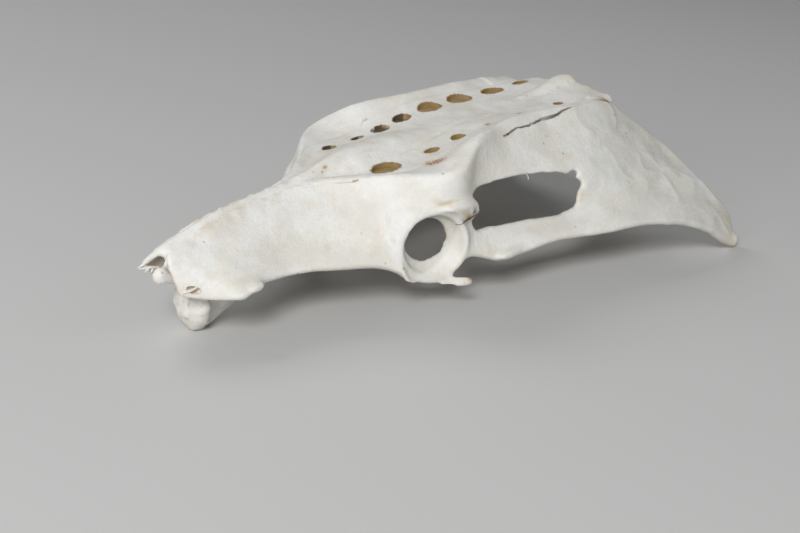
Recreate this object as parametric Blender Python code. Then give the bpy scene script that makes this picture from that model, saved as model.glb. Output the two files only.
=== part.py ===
"""Pelvis of a large gull-sized bird, life size, as it lies on a table.

The long axis runs along X with the cranial end at -X, Z is up, and the
animal's left side is -Y. All sizes below are millimetres, measured along
the bone from the point where the first centrum touches the table.
"""
import math

import bmesh
import bpy
import numpy as np

MM = 0.001
GAP = 0.3
ORIGIN_STATION = 36.9

# Sheet thickness: iliac wing, round the hip socket, and along the ventral rim
WING_THICKNESS = 0.85
SOCKET_THICKNESS = 0.9
SOCKET_SPREAD = 9.0
RIM_THICKNESS = 0.35

# Hip socket: an open cup turned a little towards the head
SOCKET_X = 27.0
SOCKET_OUT = 12.8
SOCKET_Z = 9.2
SOCKET_LEAN = (0.04, 0.93, -0.28)
SOCKET_TURN = math.radians(22.0)
HOLE_RADIUS = 3.0
BOWL_RADIUS = 4.65
BOWL_DEPTH = 2.3
CUP_PROFILE = [(0.0, -0.7), (4.6, -0.7), (5.4, 0.3), (5.6, 1.6), (5.3, 2.3), (4.85, 2.5), (0.0, 2.5)]

# Ilioischiadic foramen, in side view
FORAMEN_X = 42.5
FORAMEN_Z = 12.2
FORAMEN_HALF_LENGTH = 9.7
FORAMEN_HALF_HEIGHT = 2.85
FORAMEN_TILT = math.radians(-2.0)

# Where the three hip bones meet at the socket, in degrees about its axis
FRONT_CUT = 218.0
BACK_CUT = -42.0

# Lumps on the hip bone: centre and radii of each, and the rings of the pubic stub
ANTITROCHANTER = ((31.3, -15.2, 12.4), (2.2, 1.5, 2.1))
STUB_RINGS = [((26.0, -14.8, 4.6), 0.8, 0.7), ((28.6, -16.2, 4.35), 0.9, 0.7),
              ((30.9, -17.2, 4.15), 0.5, 0.4)]
TAIL_TIP = ((78.2, -26.6, 1.5), (2.3, 1.1, 2.0))

# Cutters: the socket's bowl, how far sideways each one reaches, and the table's top
BOWL_PROFILE = [(0.0, -2.5), (HOLE_RADIUS, -2.5), (HOLE_RADIUS, 0.2), (BOWL_RADIUS, BOWL_DEPTH),
                (BOWL_RADIUS + 0.4, 8.0), (0.0, 8.0)]
FORAMEN_POWER = 3.4
FORAMEN_REACH = (-30.0, -9.0)
KNIFE_REACH = (-34.0, -7.0)
TABLE_OUTLINE = [(60.0, -40.0), (90.0, -40.0), (90.0, -10.0), (60.0, -10.0)]
ILIUM_ISCHIUM_CUT = [(SOCKET_X, SOCKET_Z), (33.4, 12.3), (43.0, 12.3), (52.0, 12.0), (62.0, 12.6),
                     (84.0, 11.2)]

# Column of fused vertebrae: the gaps between vertebrae, front to back
JOINTS = [-1.5, 3.6, 8.8, 13.9, 18.8, 23.6, 28.8, 33.4, 37.6, 42.3, 48.1, 54.8, 61.5, 68.0]
CREST_HALF_WIDTH = 0.45
PLATE_THICKNESS = 0.9
SEPTUM_THICKNESS = 0.9
FORAMEN_ROW_OUT = 5.9

# Front joint lobes (station, distance out, height, half height, half width), the crest's tip
# (station, half widths below and above, lowest and highest point) and the knob at the tail end
JOINT_LOBE = [(-5.2, 2.2, 8.3, 0.7, 0.5), (-4.5, 2.1, 8.3, 1.1, 0.7), (-3.2, 0.9, 7.4, 1.5, 0.6),
              (-1.2, 0.4, 6.6, 1.3, 0.35)]
CREST_TIP = [(-6.7, 0.3, 0.25, 9.7, 10.1), (-4.3, 0.6, 0.4, 8.9, 11.4), (-0.8, 0.55, 0.4, 7.0, 12.9)]
KNOB = ((69.0, 0.0, 21.9), (2.5, 1.7, 1.3))

# Dorsal foramina: station, length and width, for the right and the left row
RIGHT_ROW = [(26.3, 1.9, 1.5), (31.3, 2.0, 1.0), (35.5, 2.6, 2.0), (39.6, 2.8, 2.2),
             (45.0, 3.9, 2.7), (51.2, 4.2, 2.9), (58.3, 4.0, 2.4), (64.7, 3.0, 1.4)]
LEFT_ROW = [(26.1, 4.2, 2.9), (34.2, 2.3, 1.4), (39.1, 2.1, 1.8), (59.8, 1.4, 1.1)]

# Lengthwise lines. Each knot is station, distance from the midline, height.
CREST = [(-3.7, 0.8, 11.5), (2, 0.9, 13.8), (8, 1.0, 15.0), (14.4, 1.3, 16.0), (18, 3.1, 16.7),
         (22, 7.0, 17.3), (26, 11.7, 17.8), (30, 14.9, 18.2), (33, 14.4, 19.4), (36, 12.7, 20.8),
         (43, 10.4, 21.7), (50, 9.9, 22.1), (58, 10.7, 22.0), (63, 11.1, 21.6), (67, 11.2, 20.9)]
UPPER_WALL = [(-4.2, 2.0, 10.4), (2, 2.9, 11.5), (8, 3.0, 12.9), (14, 4.2, 13.3), (21, 7.9, 13.8),
              (27, 14.1, 14.5), (31, 15.2, 15.2), (34.5, 14.1, 15.7), (42.5, 14.4, 15.6), (50, 15.4, 15.0),
              (61, 16.0, 15.6), (75.5, 15.3, 14.2)]
LOWER_WALL = [(-3.9, 2.6, 8.3), (2, 5.4, 8.7), (8, 5.0, 10), (14, 6.4, 10.2), (21, 10.3, 10.3),
              (27, 14.9, 9.5), (33, 15.4, 9.9), (42.5, 16.0, 9.4), (50, 17.2, 9.8), (61, 19.8, 10.8),
              (77.8, 22.0, 8.6)]
BORDER = [(-3.5, 3.0, 6.1), (-0.3, 5.6, 5.7), (1.9, 8.3, 6.4), (5, 7.6, 7.2), (8, 7.5, 7.3),
          (11.8, 8.3, 7.4), (15.9, 10.1, 7.3), (20.6, 12.3, 6.8), (23.5, 14.4, 5.4), (28, 15.4, 4.6),
          (32, 16.2, 6.6), (36.4, 17.8, 5.7), (40.7, 18.6, 6.4), (46, 19.3, 7), (52.4, 21, 6.8),
          (60.7, 23.3, 7.0), (67.6, 25.3, 6.2), (73.2, 26.7, 4.2), (77.2, 27.2, 1.6)]
HEEL_BULGE = (2.3, 0.1, 0.2)
SUTURE = [(-5, 0.75), (12, 0.75), (15, 1.0), (18, 2.6), (21, 5.2), (24, 7.3), (27, 8.2),
          (33, 8.3), (43, 8.0), (61, 7.4), (72, 7.7)]
MIDLINE = [(-6.7, 9.6), (-1, 12.6), (7.6, 15.1), (14.4, 16.1), (17.5, 16.9), (21.6, 18.1), (28, 19.1),
           (37.6, 19.4), (49.5, 20.2), (62.6, 21.3), (68, 22.1), (72, 22.3)]
FORAMEN_ROW = [(-5, 10.9), (2, 13.9), (8, 15.1), (14, 16.0), (20, 16.5), (26.1, 17.2), (34.9, 18.3),
               (39.4, 19.3), (44.9, 20.2), (51.5, 20.6), (59, 20.9), (66, 21.5), (72, 21.2)]

# Column lines: station and size. The keel touches the table between the contact stations.
CONTACT = (-0.2, 1.3)
KEEL = [(-1.5, 2.5), (-0.8, 1.1), (-0.2, 0.0), (1.3, 0.0), (4.2, 1.2), (7.6, 2.8), (14, 5.0),
        (21, 7.5), (27, 9.4), (33, 11.2), (42, 13.6), (50, 15.6), (61, 17.7), (70, 18.8)]
KEEL_HALF_WIDTH = [(-1.5, 1.2), (0, 0.8), (1.3, 0.8), (5, 0.5), (14, 0.6), (22, 1.2), (30, 1.2),
                   (42, 0.8), (70, 0.6)]
CENTRUM_HEIGHT = [(-1.5, 2.4), (0, 4.9), (8, 4.6), (22, 4.8), (33, 4.0), (50, 2.9), (70, 1.7)]
CENTRUM_HALF_WIDTH = [(-1.5, 1.7), (0, 2.3), (6, 2.0), (14, 2.5), (24, 3.3), (33, 2.7), (50, 1.8),
                      (70, 1.4)]

# How far the sheet's stations follow one another before they fan out
FRONT_FAN_END = 4.0
REAR_FAN_START = 58.0
STATIONS = 47
CIRCLE_POINTS = 36
RING_POINTS = 10
CREST_ROW = 0.16
WALL_ROWS = (CREST_ROW, 0.40, 0.66, 0.84, 1.0)
ROWS = 14


def smooth(knots, station):
    """A cubic through the knots, with slopes averaged at each knot."""
    knots = np.asarray(knots, float)
    places, sizes = knots[:, 0], knots[:, 1:]
    steps = np.diff(places)
    slopes = np.diff(sizes, axis=0) / steps[:, None]
    tangents = np.concatenate([slopes[:1], slopes, slopes[-1:]])
    before, after = tangents[:-1], tangents[1:]
    tangents = (before + after) / 2
    station = np.asarray(station, float)
    index = np.clip(np.searchsorted(places, station, side="right") - 1, 0, len(steps) - 1)
    t = np.clip((station - places[index]) / steps[index], 0, 1)[..., None]
    span = steps[index][..., None]
    return ((2 * t**3 - 3 * t**2 + 1) * sizes[index] + (t**3 - 2 * t**2 + t) * span * tangents[index]
            + (3 * t**2 - 2 * t**3) * sizes[index + 1] + (t**3 - t**2) * span * tangents[index + 1])


def ease(t):
    """Zero to one with level ends."""
    t = np.clip(t, 0, 1)
    return (1 - np.cos(np.pi * t)) / 2


def plate_height(station, out):
    """Height of the dorsal plate: midline ridge, then the row of foramina, then the crest."""
    mid = smooth(MIDLINE, station)[..., 0]
    row = smooth(FORAMEN_ROW, station)[..., 0]
    crest_out, crest = np.moveaxis(smooth(CREST, station), -1, 0)
    row_out = np.minimum(FORAMEN_ROW_OUT, 0.6 * crest_out)
    inner = mid + (row - mid) * ease(out / row_out)
    outer = row + (crest - row) * ease((out - row_out) / np.maximum(crest_out - row_out, 0.05))
    return np.where(out < row_out, inner, outer)


def rail_station(fraction, start, end):
    """Stations shared by every line, that fan out to its own start and end."""
    shares = [0.0, 0.11, 0.80, 1.0]
    return np.interp(fraction, shares, [start, FRONT_FAN_END, REAR_FAN_START, end])


def hip_surface(u, v):
    """Outer face of the left hip bone: u from head to tail, v from the suture to the border."""
    rails = []
    for knots in (CREST, UPPER_WALL, LOWER_WALL, BORDER):
        station = rail_station(u, knots[0][0], knots[-1][0])
        rails.append(np.concatenate([station[..., None], smooth(knots, station)], axis=-1))
    crest, upper, lower, border = rails
    heel = ease((u - 0.82) / 0.18)[..., None] * np.array(HEEL_BULGE)
    flank = lower * 0.45 + border * 0.55 + heel
    station = crest[..., 0]
    suture_out = smooth(SUTURE, station)[..., 0]
    share = np.clip(v / CREST_ROW, 0, 1)
    out = suture_out + (crest[..., 1] - suture_out) * share
    plate = np.stack([station, out, plate_height(station, out)], axis=-1)
    rows = [crest, upper, lower, flank, border]
    wall = np.zeros_like(crest)
    tangents = []
    for i, row in enumerate(rows):
        before = rows[max(i - 1, 0)]
        after = rows[min(i + 1, len(rows) - 1)]
        width = WALL_ROWS[min(i + 1, len(rows) - 1)] - WALL_ROWS[max(i - 1, 0)]
        tangents.append((after - before) / width)
    for i in range(len(rows) - 1):
        span = WALL_ROWS[i + 1] - WALL_ROWS[i]
        t = np.clip((v - WALL_ROWS[i]) / span, 0, 1)[..., None]
        piece = ((2 * t**3 - 3 * t**2 + 1) * rows[i] + (t**3 - 2 * t**2 + t) * span * tangents[i]
                 + (3 * t**2 - 2 * t**3) * rows[i + 1] + (t**3 - t**2) * span * tangents[i + 1])
        inside = (v >= WALL_ROWS[i])[..., None]
        wall = np.where(inside, piece, wall)
    return np.where((v < CREST_ROW)[..., None], plate, wall)


def hip_normal(u, v):
    """Unit vectors out of the left hip bone's outer face."""
    step = 0.004
    along = hip_surface(np.clip(u + step, 0, 1), v) - hip_surface(np.clip(u - step, 0, 1), v)
    across = hip_surface(u, np.clip(v + step, 0, 1)) - hip_surface(u, np.clip(v - step, 0, 1))
    normal = np.cross(along, across)
    return normal / np.maximum(np.linalg.norm(normal, axis=-1, keepdims=True), 1e-9)


def hip_thickness(u, v):
    """Thin in the wing, thicker round the socket and along the ventral rim."""
    point = hip_surface(u, v)
    away = np.hypot(point[..., 0] - SOCKET_X, point[..., 2] - SOCKET_Z)
    bead = RIM_THICKNESS * ease((v - 0.8) / 0.2)
    return WING_THICKNESS + SOCKET_THICKNESS * np.exp(-(away / SOCKET_SPREAD) ** 2) + bead


def hip_depth_direction(u, v):
    """Straight down under the plate, square to the wall elsewhere."""
    share = ease((v - CREST_ROW) / 0.14)[..., None]
    return -hip_normal(u, v) * share + np.array([0.0, 0.0, -1.0]) * (1 - share)


def hip_inner(u, v, extra=0.0):
    """Inner face of the left hip bone, kept off the midline crest."""
    depth = (hip_thickness(u, v) + extra)[..., None]
    point = hip_surface(u, v) + hip_depth_direction(u, v) * depth
    point[..., 1] = np.maximum(point[..., 1], SUTURE[0][1] - extra)
    return point


def new_object(name, points, faces):
    """A mesh object with its faces turned outwards, still in millimetres."""
    mesh = bpy.data.meshes.new(name)
    work = bmesh.new()
    verts = [work.verts.new(tuple(point)) for point in points]
    for face in faces:
        work.faces.new([verts[i] for i in face])
    bmesh.ops.recalc_face_normals(work, faces=work.faces)
    if work.calc_volume(signed=True) < 0:
        bmesh.ops.reverse_faces(work, faces=work.faces)
    work.to_mesh(mesh)
    work.free()
    thing = bpy.data.objects.new(name, mesh)
    bpy.context.scene.collection.objects.link(thing)
    return thing


def thick_grid(name, outer, inner):
    """A closed sheet between two grids of the same size."""
    rows, columns = outer.shape[:2]
    points = np.concatenate([outer.reshape(-1, 3), inner.reshape(-1, 3)])
    shift = rows * columns
    faces = []
    for r in range(rows - 1):
        for c in range(columns - 1):
            a, b = r * columns + c, r * columns + c + 1
            d, e = a + columns, b + columns
            halves = [(a, d, e), (a, e, b)] if (r + c) % 2 else [(a, d, b), (b, d, e)]
            faces += halves
            faces += [(i + shift, k + shift, j + shift) for i, j, k in halves]
    rim = [(0, c) for c in range(columns)] + [(r, columns - 1) for r in range(1, rows)]
    rim += [(rows - 1, c) for c in range(columns - 2, -1, -1)] + [(r, 0) for r in range(rows - 2, 0, -1)]
    ids = [r * columns + c for r, c in rim]
    for i, a in enumerate(ids):
        b = ids[(i + 1) % len(ids)]
        faces += [(a, b, b + shift), (a, b + shift, a + shift)]
    return new_object(name, points, faces)


def loft(name, rings):
    """A closed tube through rings of equal count, with flat ends."""
    count = len(rings[0])
    points = [point for ring in rings for point in ring]
    faces = []
    for k in range(len(rings) - 1):
        for i in range(count):
            j = (i + 1) % count
            a, b = k * count + i, k * count + j
            faces += [(a, b, b + count), (a, b + count, a + count)]
    faces.append(tuple(range(count)))
    faces.append(tuple(range(len(points) - count, len(points))))
    thing = new_object(name, points, faces)
    work = bmesh.new()
    work.from_mesh(thing.data)
    bmesh.ops.triangulate(work, faces=[f for f in work.faces if len(f.verts) > 3])
    work.to_mesh(thing.data)
    work.free()
    return thing


def ellipsoid(name, centre, radii, segments=12, rings=8):
    """A rounded lump; its ends are single points."""
    points = [(centre[0], centre[1], centre[2] - radii[2])]
    for k in range(1, rings):
        tilt = math.pi * k / rings
        for i in range(segments):
            turn = 2 * math.pi * i / segments
            points.append((centre[0] + radii[0] * math.sin(tilt) * math.cos(turn),
                           centre[1] + radii[1] * math.sin(tilt) * math.sin(turn),
                           centre[2] - radii[2] * math.cos(tilt)))
    points.append((centre[0], centre[1], centre[2] + radii[2]))
    faces = []
    last = len(points) - 1
    for i in range(segments):
        j = (i + 1) % segments
        faces += [(0, 1 + i, 1 + j), (last, last - segments + j, last - segments + i)]
        for k in range(rings - 2):
            a, b = 1 + k * segments + i, 1 + k * segments + j
            faces.append((a, b, b + segments, a + segments))
    return new_object(name, points, faces)


def turned(name, profile, segments):
    """A stack of upright rings along the left socket's leaning axis, from radius and depth pairs."""
    sideways = np.array([math.cos(SOCKET_TURN), -math.sin(SOCKET_TURN), 0.0])
    upwards = np.array([0.0, 0.0, 1.0])
    points, faces, rings = [], [], []
    for radius, depth in profile:
        centre = np.array(socket_point(depth))
        if radius == 0.0:
            points.append(centre)
            rings.append([len(points) - 1])
            continue
        start = len(points)
        for i in range(segments):
            turn = 2 * math.pi * i / segments
            points.append(centre + radius * (math.cos(turn) * sideways + math.sin(turn) * upwards))
        rings.append(list(range(start, start + segments)))
    for lower, upper in zip(rings, rings[1:]):
        for i in range(segments):
            j = (i + 1) % segments
            if len(lower) == 1:
                faces.append((lower[0], upper[i], upper[j]))
            elif len(upper) == 1:
                faces.append((lower[i], upper[0], lower[j]))
            else:
                faces.append((lower[i], upper[i], upper[j], lower[j]))
    return new_object(name, points, faces)


def socket_point(depth):
    """A point on the left socket's axis, depth millimetres out from its inner ring."""
    along, sideways, up = SOCKET_LEAN
    return SOCKET_X + along * depth, -SOCKET_OUT - sideways * depth, SOCKET_Z + up * depth


def prism(name, outline, low, high, axis):
    """A closed bar with a flat outline. It runs along Y from x, z pairs or along Z from x, y pairs."""
    if axis == "Y":
        rings = [[(x, low, z) for x, z in outline], [(x, high, z) for x, z in outline]]
    else:
        rings = [[(x, y, low) for x, y in outline], [(x, y, high) for x, y in outline]]
    return loft(name, rings)


def apply_boolean(target, others, operation):
    """One Boolean on a collection; the helpers go afterwards."""
    group = bpy.data.collections.new("helpers")
    bpy.context.scene.collection.children.link(group)
    for other in others:
        group.objects.link(other)
        other.hide_render = True
        other.display_type = "WIRE"
    modifier = target.modifiers.new("join", "BOOLEAN")
    modifier.operation = operation
    modifier.operand_type = "COLLECTION"
    modifier.collection = group
    modifier.solver = "EXACT"
    modifier.use_self = True
    view = bpy.context.evaluated_depsgraph_get()
    joined = bpy.data.meshes.new_from_object(target.evaluated_get(view))
    target.modifiers.clear()
    target.data = joined
    for other in others:
        bpy.data.objects.remove(other)
    bpy.data.collections.remove(group)


def closed_pieces(thing):
    """The object's separate closed surfaces, each as a set of vertex indices."""
    work = bmesh.new()
    work.from_mesh(thing.data)
    work.verts.ensure_lookup_table()
    seen, found = set(), []
    for seed in work.verts:
        if seed.index in seen:
            continue
        stack, members = [seed], set()
        seen.add(seed.index)
        while stack:
            vert = stack.pop()
            members.add(vert.index)
            for edge in vert.link_edges:
                other = edge.other_vert(vert)
                if other.index not in seen:
                    seen.add(other.index)
                    stack.append(other)
        found.append(members)
    work.free()
    return found


def keep_piece(thing, members, name):
    """A new object that holds only the given vertices' closed surface."""
    work = bmesh.new()
    work.from_mesh(thing.data)
    work.verts.ensure_lookup_table()
    bmesh.ops.delete(work, geom=[v for v in work.verts if v.index not in members], context="VERTS")
    bmesh.ops.dissolve_degenerate(work, edges=work.edges, dist=1e-4)
    bmesh.ops.triangulate(work, faces=work.faces)
    mesh = bpy.data.meshes.new(name)
    work.to_mesh(mesh)
    volume = work.calc_volume()
    centre = sum((v.co for v in work.verts), work.verts[:][0].co * 0) / len(work.verts)
    work.free()
    piece = bpy.data.objects.new(name, mesh)
    bpy.context.scene.collection.objects.link(piece)
    return piece, volume, centre


def largest_pieces(thing, count):
    """The object's largest closed surfaces as new objects; the rest is dropped."""
    pieces = [keep_piece(thing, members, "piece") for members in closed_pieces(thing)]
    pieces.sort(key=lambda item: -item[1])
    for piece, _, _ in pieces[count:]:
        bpy.data.objects.remove(piece)
    bpy.data.objects.remove(thing)
    return pieces[:count]


def superellipse(count):
    """The rounded oblong outline of the ilioischiadic foramen, in side view."""
    outline = []
    for i in range(count):
        turn = 2 * math.pi * i / count
        c, s = math.cos(turn), math.sin(turn)
        x = FORAMEN_HALF_LENGTH * math.copysign(abs(c) ** (2 / FORAMEN_POWER), c)
        z = FORAMEN_HALF_HEIGHT * math.copysign(abs(s) ** (2 / FORAMEN_POWER), s)
        outline.append((FORAMEN_X + x * math.cos(FORAMEN_TILT) - z * math.sin(FORAMEN_TILT),
                        FORAMEN_Z + x * math.sin(FORAMEN_TILT) + z * math.cos(FORAMEN_TILT)))
    return outline


def ribbon_knife(name, path):
    """A curtain one gap thick along a side-view path, deep enough to cut one hip bone."""
    upper = [(x, z + GAP / 2) for x, z in path]
    lower = [(x, z - GAP / 2) for x, z in reversed(path)]
    return prism(name, upper + lower, *KNIFE_REACH, "Y")


def radial_knife(name, angle, length):
    """A slab one gap thick from the socket's centre outwards, in side view."""
    along = np.array([math.cos(angle), math.sin(angle)])
    across = np.array([-along[1], along[0]]) * GAP / 2
    centre = np.array([SOCKET_X, SOCKET_Z])
    near = centre + along * HOLE_RADIUS * 0.4
    far = centre + along * length
    ends = [near - across, far - across, far + across, near + across]
    return prism(name, [tuple(p) for p in ends], *KNIFE_REACH, "Y")


def hip_bone():
    """The left hip bone in one piece: sheet, cup, antitrochanter, pubic stub and tail tip."""
    u, v = np.meshgrid(np.linspace(0, 1, STATIONS), np.linspace(0, 1, ROWS), indexing="ij")
    flip = np.array([1, -1, 1])
    sheet = thick_grid("hip", hip_surface(u, v) * flip, hip_inner(u, v) * flip)
    cup = turned("cup", CUP_PROFILE, CIRCLE_POINTS)
    antitrochanter = ellipsoid("antitrochanter", *ANTITROCHANTER)
    stub = loft("stub", [ring_about(*ring) for ring in STUB_RINGS])
    tip = ellipsoid("tip", *TAIL_TIP)
    apply_boolean(sheet, [cup, antitrochanter, stub, tip], "UNION")
    bowl = turned("bowl", BOWL_PROFILE, CIRCLE_POINTS)
    foramen = prism("foramen", superellipse(CIRCLE_POINTS), *FORAMEN_REACH, "Y")
    table = prism("table", TABLE_OUTLINE, -6.0, 0.0, "Z")
    apply_boolean(sheet, [bowl, foramen, table], "DIFFERENCE")
    return sheet


def ring_about(centre, tall, wide):
    """An upright elliptical ring, across X."""
    turns = [2 * math.pi * i / RING_POINTS for i in range(RING_POINTS)]
    return [(centre[0], centre[1] + wide * math.cos(turn), centre[2] + tall * math.sin(turn))
            for turn in turns]


def wing_limit(station, height, gap):
    """How far out the column may go under the iliac wing at a station and height."""
    u = np.interp(station, [-4.0, FRONT_FAN_END, REAR_FAN_START], [0.0, 0.11, 0.80])
    rows = np.linspace(CREST_ROW * 0.5, 1, 40)
    inner = hip_inner(np.full_like(rows, u), rows, gap)
    order = np.argsort(inner[:, 2])
    return float(np.interp(height, inner[order, 2], inner[order, 1]))


def column():
    """The fused centra with keel, arches and crest, as one loft."""
    rings = []
    stations = [-1.5, -0.8, CONTACT[0], CONTACT[1]] + list(np.linspace(CONTACT[1], 69.6, 33)[1:])
    for station in stations:
        low = max(smooth(KEEL, station)[0], 0.0)
        tall = smooth(CENTRUM_HEIGHT, station)[0]
        nearest = min(abs(station - joint) for joint in JOINTS)
        swell = 1 + 0.14 * math.exp(-(nearest / 1.0) ** 2) - 0.04
        wide = smooth(CENTRUM_HALF_WIDTH, station)[0] * swell
        keel = smooth(KEEL_HALF_WIDTH, station)[0]
        top = smooth(MIDLINE, station)[0]
        if station > 14:
            top -= 0.45
        floor = low + tall
        half = [(keel, low), (0.78 * wide, low + 0.28 * tall), (wide, low + 0.6 * tall),
                (0.86 * wide, floor), (0.75 * wide, floor + 0.35 * (top - floor)),
                (0.5 * wide, floor + 0.7 * (top - floor)), (CREST_HALF_WIDTH, top)]
        trimmed = []
        for out, height in half:
            if station < 24 and height > floor - 0.1 * tall:
                out = max(min(out, wing_limit(station, height, GAP)), CREST_HALF_WIDTH)
            trimmed.append((out, height))
        ring = [(station, -out, height) for out, height in trimmed]
        ring += [(station, out, height) for out, height in reversed(trimmed)]
        rings.append(ring)
    return loft("synsacrum", rings)


def dorsal_plate():
    """The plate between the two sutures, seen from above."""
    stations = np.concatenate([np.linspace(15.2, 24, 7), np.linspace(26.0, 70.2, 20)])
    across = np.linspace(-1, 1, 11)
    station, share = np.meshgrid(stations, across, indexing="ij")
    reach = smooth(SUTURE, station)[..., 0] - GAP
    side = share * reach
    height = plate_height(np.minimum(station, 68.0), np.abs(side))
    top = np.stack([station, side, height], axis=-1)
    return thick_grid("plate", top, top - np.array([0.0, 0.0, PLATE_THICKNESS]))


def septum(station, side):
    """A transverse process: a thin upright blade from the column to the wing or the plate."""
    low = smooth(KEEL, station)[0]
    tall = smooth(CENTRUM_HEIGHT, station)[0]
    if station < 22:
        u = np.interp(station, [FRONT_FAN_END, REAR_FAN_START], [0.11, 0.80])
        rows = np.linspace(0.22, 0.70, 6)
        edge = hip_inner(np.full_like(rows, u), rows, GAP)
        outline = [(side * out, height) for out, height in edge[:, 1:]]
        outline += [(side * 1.0, low + 0.45 * tall), (side * 0.2, low + 0.7 * tall), (0.0, edge[0, 2] - 0.4)]
    else:
        reach = smooth(SUTURE, station)[0] - 0.8
        roof = plate_height(np.array(min(station, 67.9)), np.array(reach)) - PLATE_THICKNESS / 2
        outline = [(side * 0.2, low + 0.35 * tall), (side * (reach - 1.6), roof - 1.3),
                   (side * reach, roof - 0.4), (side * reach, roof), (side * 0.2, roof)]
    half = SEPTUM_THICKNESS / 2
    rings = [[(station - half, y, z) for y, z in outline], [(station + half, y, z) for y, z in outline]]
    return loft("septum", rings)


def socket_strut(station, side):
    """A stout process that braces the socket from the column."""
    root_z = smooth(KEEL, station)[0] + 0.5 * smooth(CENTRUM_HEIGHT, station)[0]
    rings = []
    for share, radius in ((0.0, 1.3), (0.45, 0.85), (1.0, 1.35)):
        ring = []
        for i in range(12):
            turn = 2 * math.pi * i / 12
            x = station + radius * math.cos(turn)
            limit = SOCKET_OUT - 0.65 - GAP / math.cos(SOCKET_TURN) + (x - SOCKET_X) * math.tan(SOCKET_TURN)
            out = 1.2 + (limit - 1.2) * share
            z = root_z + (13.6 - root_z) * share + radius * math.sin(turn)
            ring.append((x, side * out, z))
        rings.append(ring)
    return loft("strut", rings)


def foramen_cutter(station, length, width, side):
    """An oval punch through the dorsal plate."""
    outline = []
    for i in range(14):
        turn = 2 * math.pi * i / 14
        outline.append((station + length / 2 * math.cos(turn),
                        side * FORAMEN_ROW_OUT + width / 2 * math.sin(turn)))
    height = float(plate_height(np.array(station), np.array(FORAMEN_ROW_OUT)))
    return prism("punch", outline, height - 2.2, height + 3, "Z")


def grown_edges(grid):
    """The grid with its outer lines moved on by the gap."""
    grown = grid.copy()
    for edge, neighbour in ((0, 1), (-1, -2)):
        step = grid[edge] - grid[neighbour]
        grown[edge] += step / np.linalg.norm(step, axis=-1, keepdims=True) * GAP
    step = grid[:, -1] - grid[:, -2]
    grown[:, -1] += step / np.linalg.norm(step, axis=-1, keepdims=True) * GAP
    return grown


def wing_clearance(side):
    """The left or right hip sheet grown by the gap, which trims all that grows towards it."""
    u, v = np.meshgrid(np.linspace(0, 1, STATIONS), np.linspace(0, 1, ROWS), indexing="ij")
    flip = np.array([1, side, 1])
    outer = hip_surface(u, v) - hip_depth_direction(u, v) * 2 * GAP
    outer[..., 1] = np.maximum(outer[..., 1], SUTURE[0][1] - GAP)
    return thick_grid("clearance", grown_edges(outer) * flip, grown_edges(hip_inner(u, v, GAP)) * flip)


def synsacrum():
    """The fused vertebrae with plate, processes, front joints and end knob."""
    body = column()
    parts = [dorsal_plate()]
    for side in (-1, 1):
        for joint in JOINTS[1:-1]:
            parts.append(septum(joint, side))
        for joint in (23.6, 28.8):
            parts.append(socket_strut(joint + 0.4, side))
        lobe = [ring_about((station, side * out, height), tall, wide)
                for station, out, height, tall, wide in JOINT_LOBE]
        parts.append(loft("lobe", lobe))
    tip = [[(station, -wide, low), (station, wide, low), (station, narrow, high), (station, -narrow, high)]
           for station, wide, narrow, low, high in CREST_TIP]
    parts.append(loft("tip", tip))
    parts.append(ellipsoid("knob", *KNOB))
    apply_boolean(body, parts, "UNION")
    for side in (-1, 1):
        apply_boolean(body, [wing_clearance(side)], "DIFFERENCE")
    cutters = [foramen_cutter(*hole, 1) for hole in RIGHT_ROW]
    cutters += [foramen_cutter(*hole, -1) for hole in LEFT_ROW]
    apply_boolean(body, cutters, "DIFFERENCE")
    return body


def bone(thing, name, colour):
    """Names a finished node, brings it to metres at the shared origin and gives it its colour."""
    thing.name = name
    thing.data.name = name
    points = np.empty(len(thing.data.vertices) * 3)
    thing.data.vertices.foreach_get("co", points)
    points = points.reshape(-1, 3)
    points[:, 0] -= ORIGIN_STATION
    points *= MM
    thing.data.vertices.foreach_set("co", points.ravel())
    material = bpy.data.materials.new(name)
    material.use_nodes = True
    shader = material.node_tree.nodes["Principled BSDF"]
    shader.inputs["Base Color"].default_value = (*colour, 1.0)
    shader.inputs["Roughness"].default_value = 0.55
    shader.inputs["Metallic"].default_value = 0.0
    thing.data.materials.clear()
    thing.data.materials.append(material)
    thing.data.shade_smooth()
    thing.data.set_sharp_from_angle(angle=math.radians(40))


def mirrored(thing, name):
    """The right-hand twin of a left-hand node."""
    work = bmesh.new()
    work.from_mesh(thing.data)
    for vert in work.verts:
        vert.co.y = -vert.co.y
    bmesh.ops.reverse_faces(work, faces=work.faces)
    mesh = bpy.data.meshes.new(name)
    work.to_mesh(mesh)
    work.free()
    twin = bpy.data.objects.new(name, mesh)
    bpy.context.scene.collection.objects.link(twin)
    return twin


def main():
    for thing in list(bpy.data.objects):
        bpy.data.objects.remove(thing)
    whole = hip_bone()
    knives = [ribbon_knife("suture", ILIUM_ISCHIUM_CUT),
              radial_knife("front", math.radians(FRONT_CUT), 10.0),
              radial_knife("back", math.radians(BACK_CUT), 8.0)]
    for knife in knives:
        apply_boolean(whole, [knife], "DIFFERENCE")
    pieces = largest_pieces(whole, 3)
    colours = {"ilium": (0.80, 0.76, 0.66), "ischium": (0.78, 0.74, 0.65), "pubis": (0.76, 0.70, 0.58)}
    named = dict(zip(("ilium", "ischium", "pubis"), [item[0] for item in pieces]))
    for name, piece in named.items():
        bone(mirrored(piece, "twin"), "right_" + name, colours[name])
        bone(piece, "left_" + name, colours[name])
    middle = largest_pieces(synsacrum(), 1)[0][0]
    bone(middle, "synsacrum", (0.81, 0.76, 0.64))


main()
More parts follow.
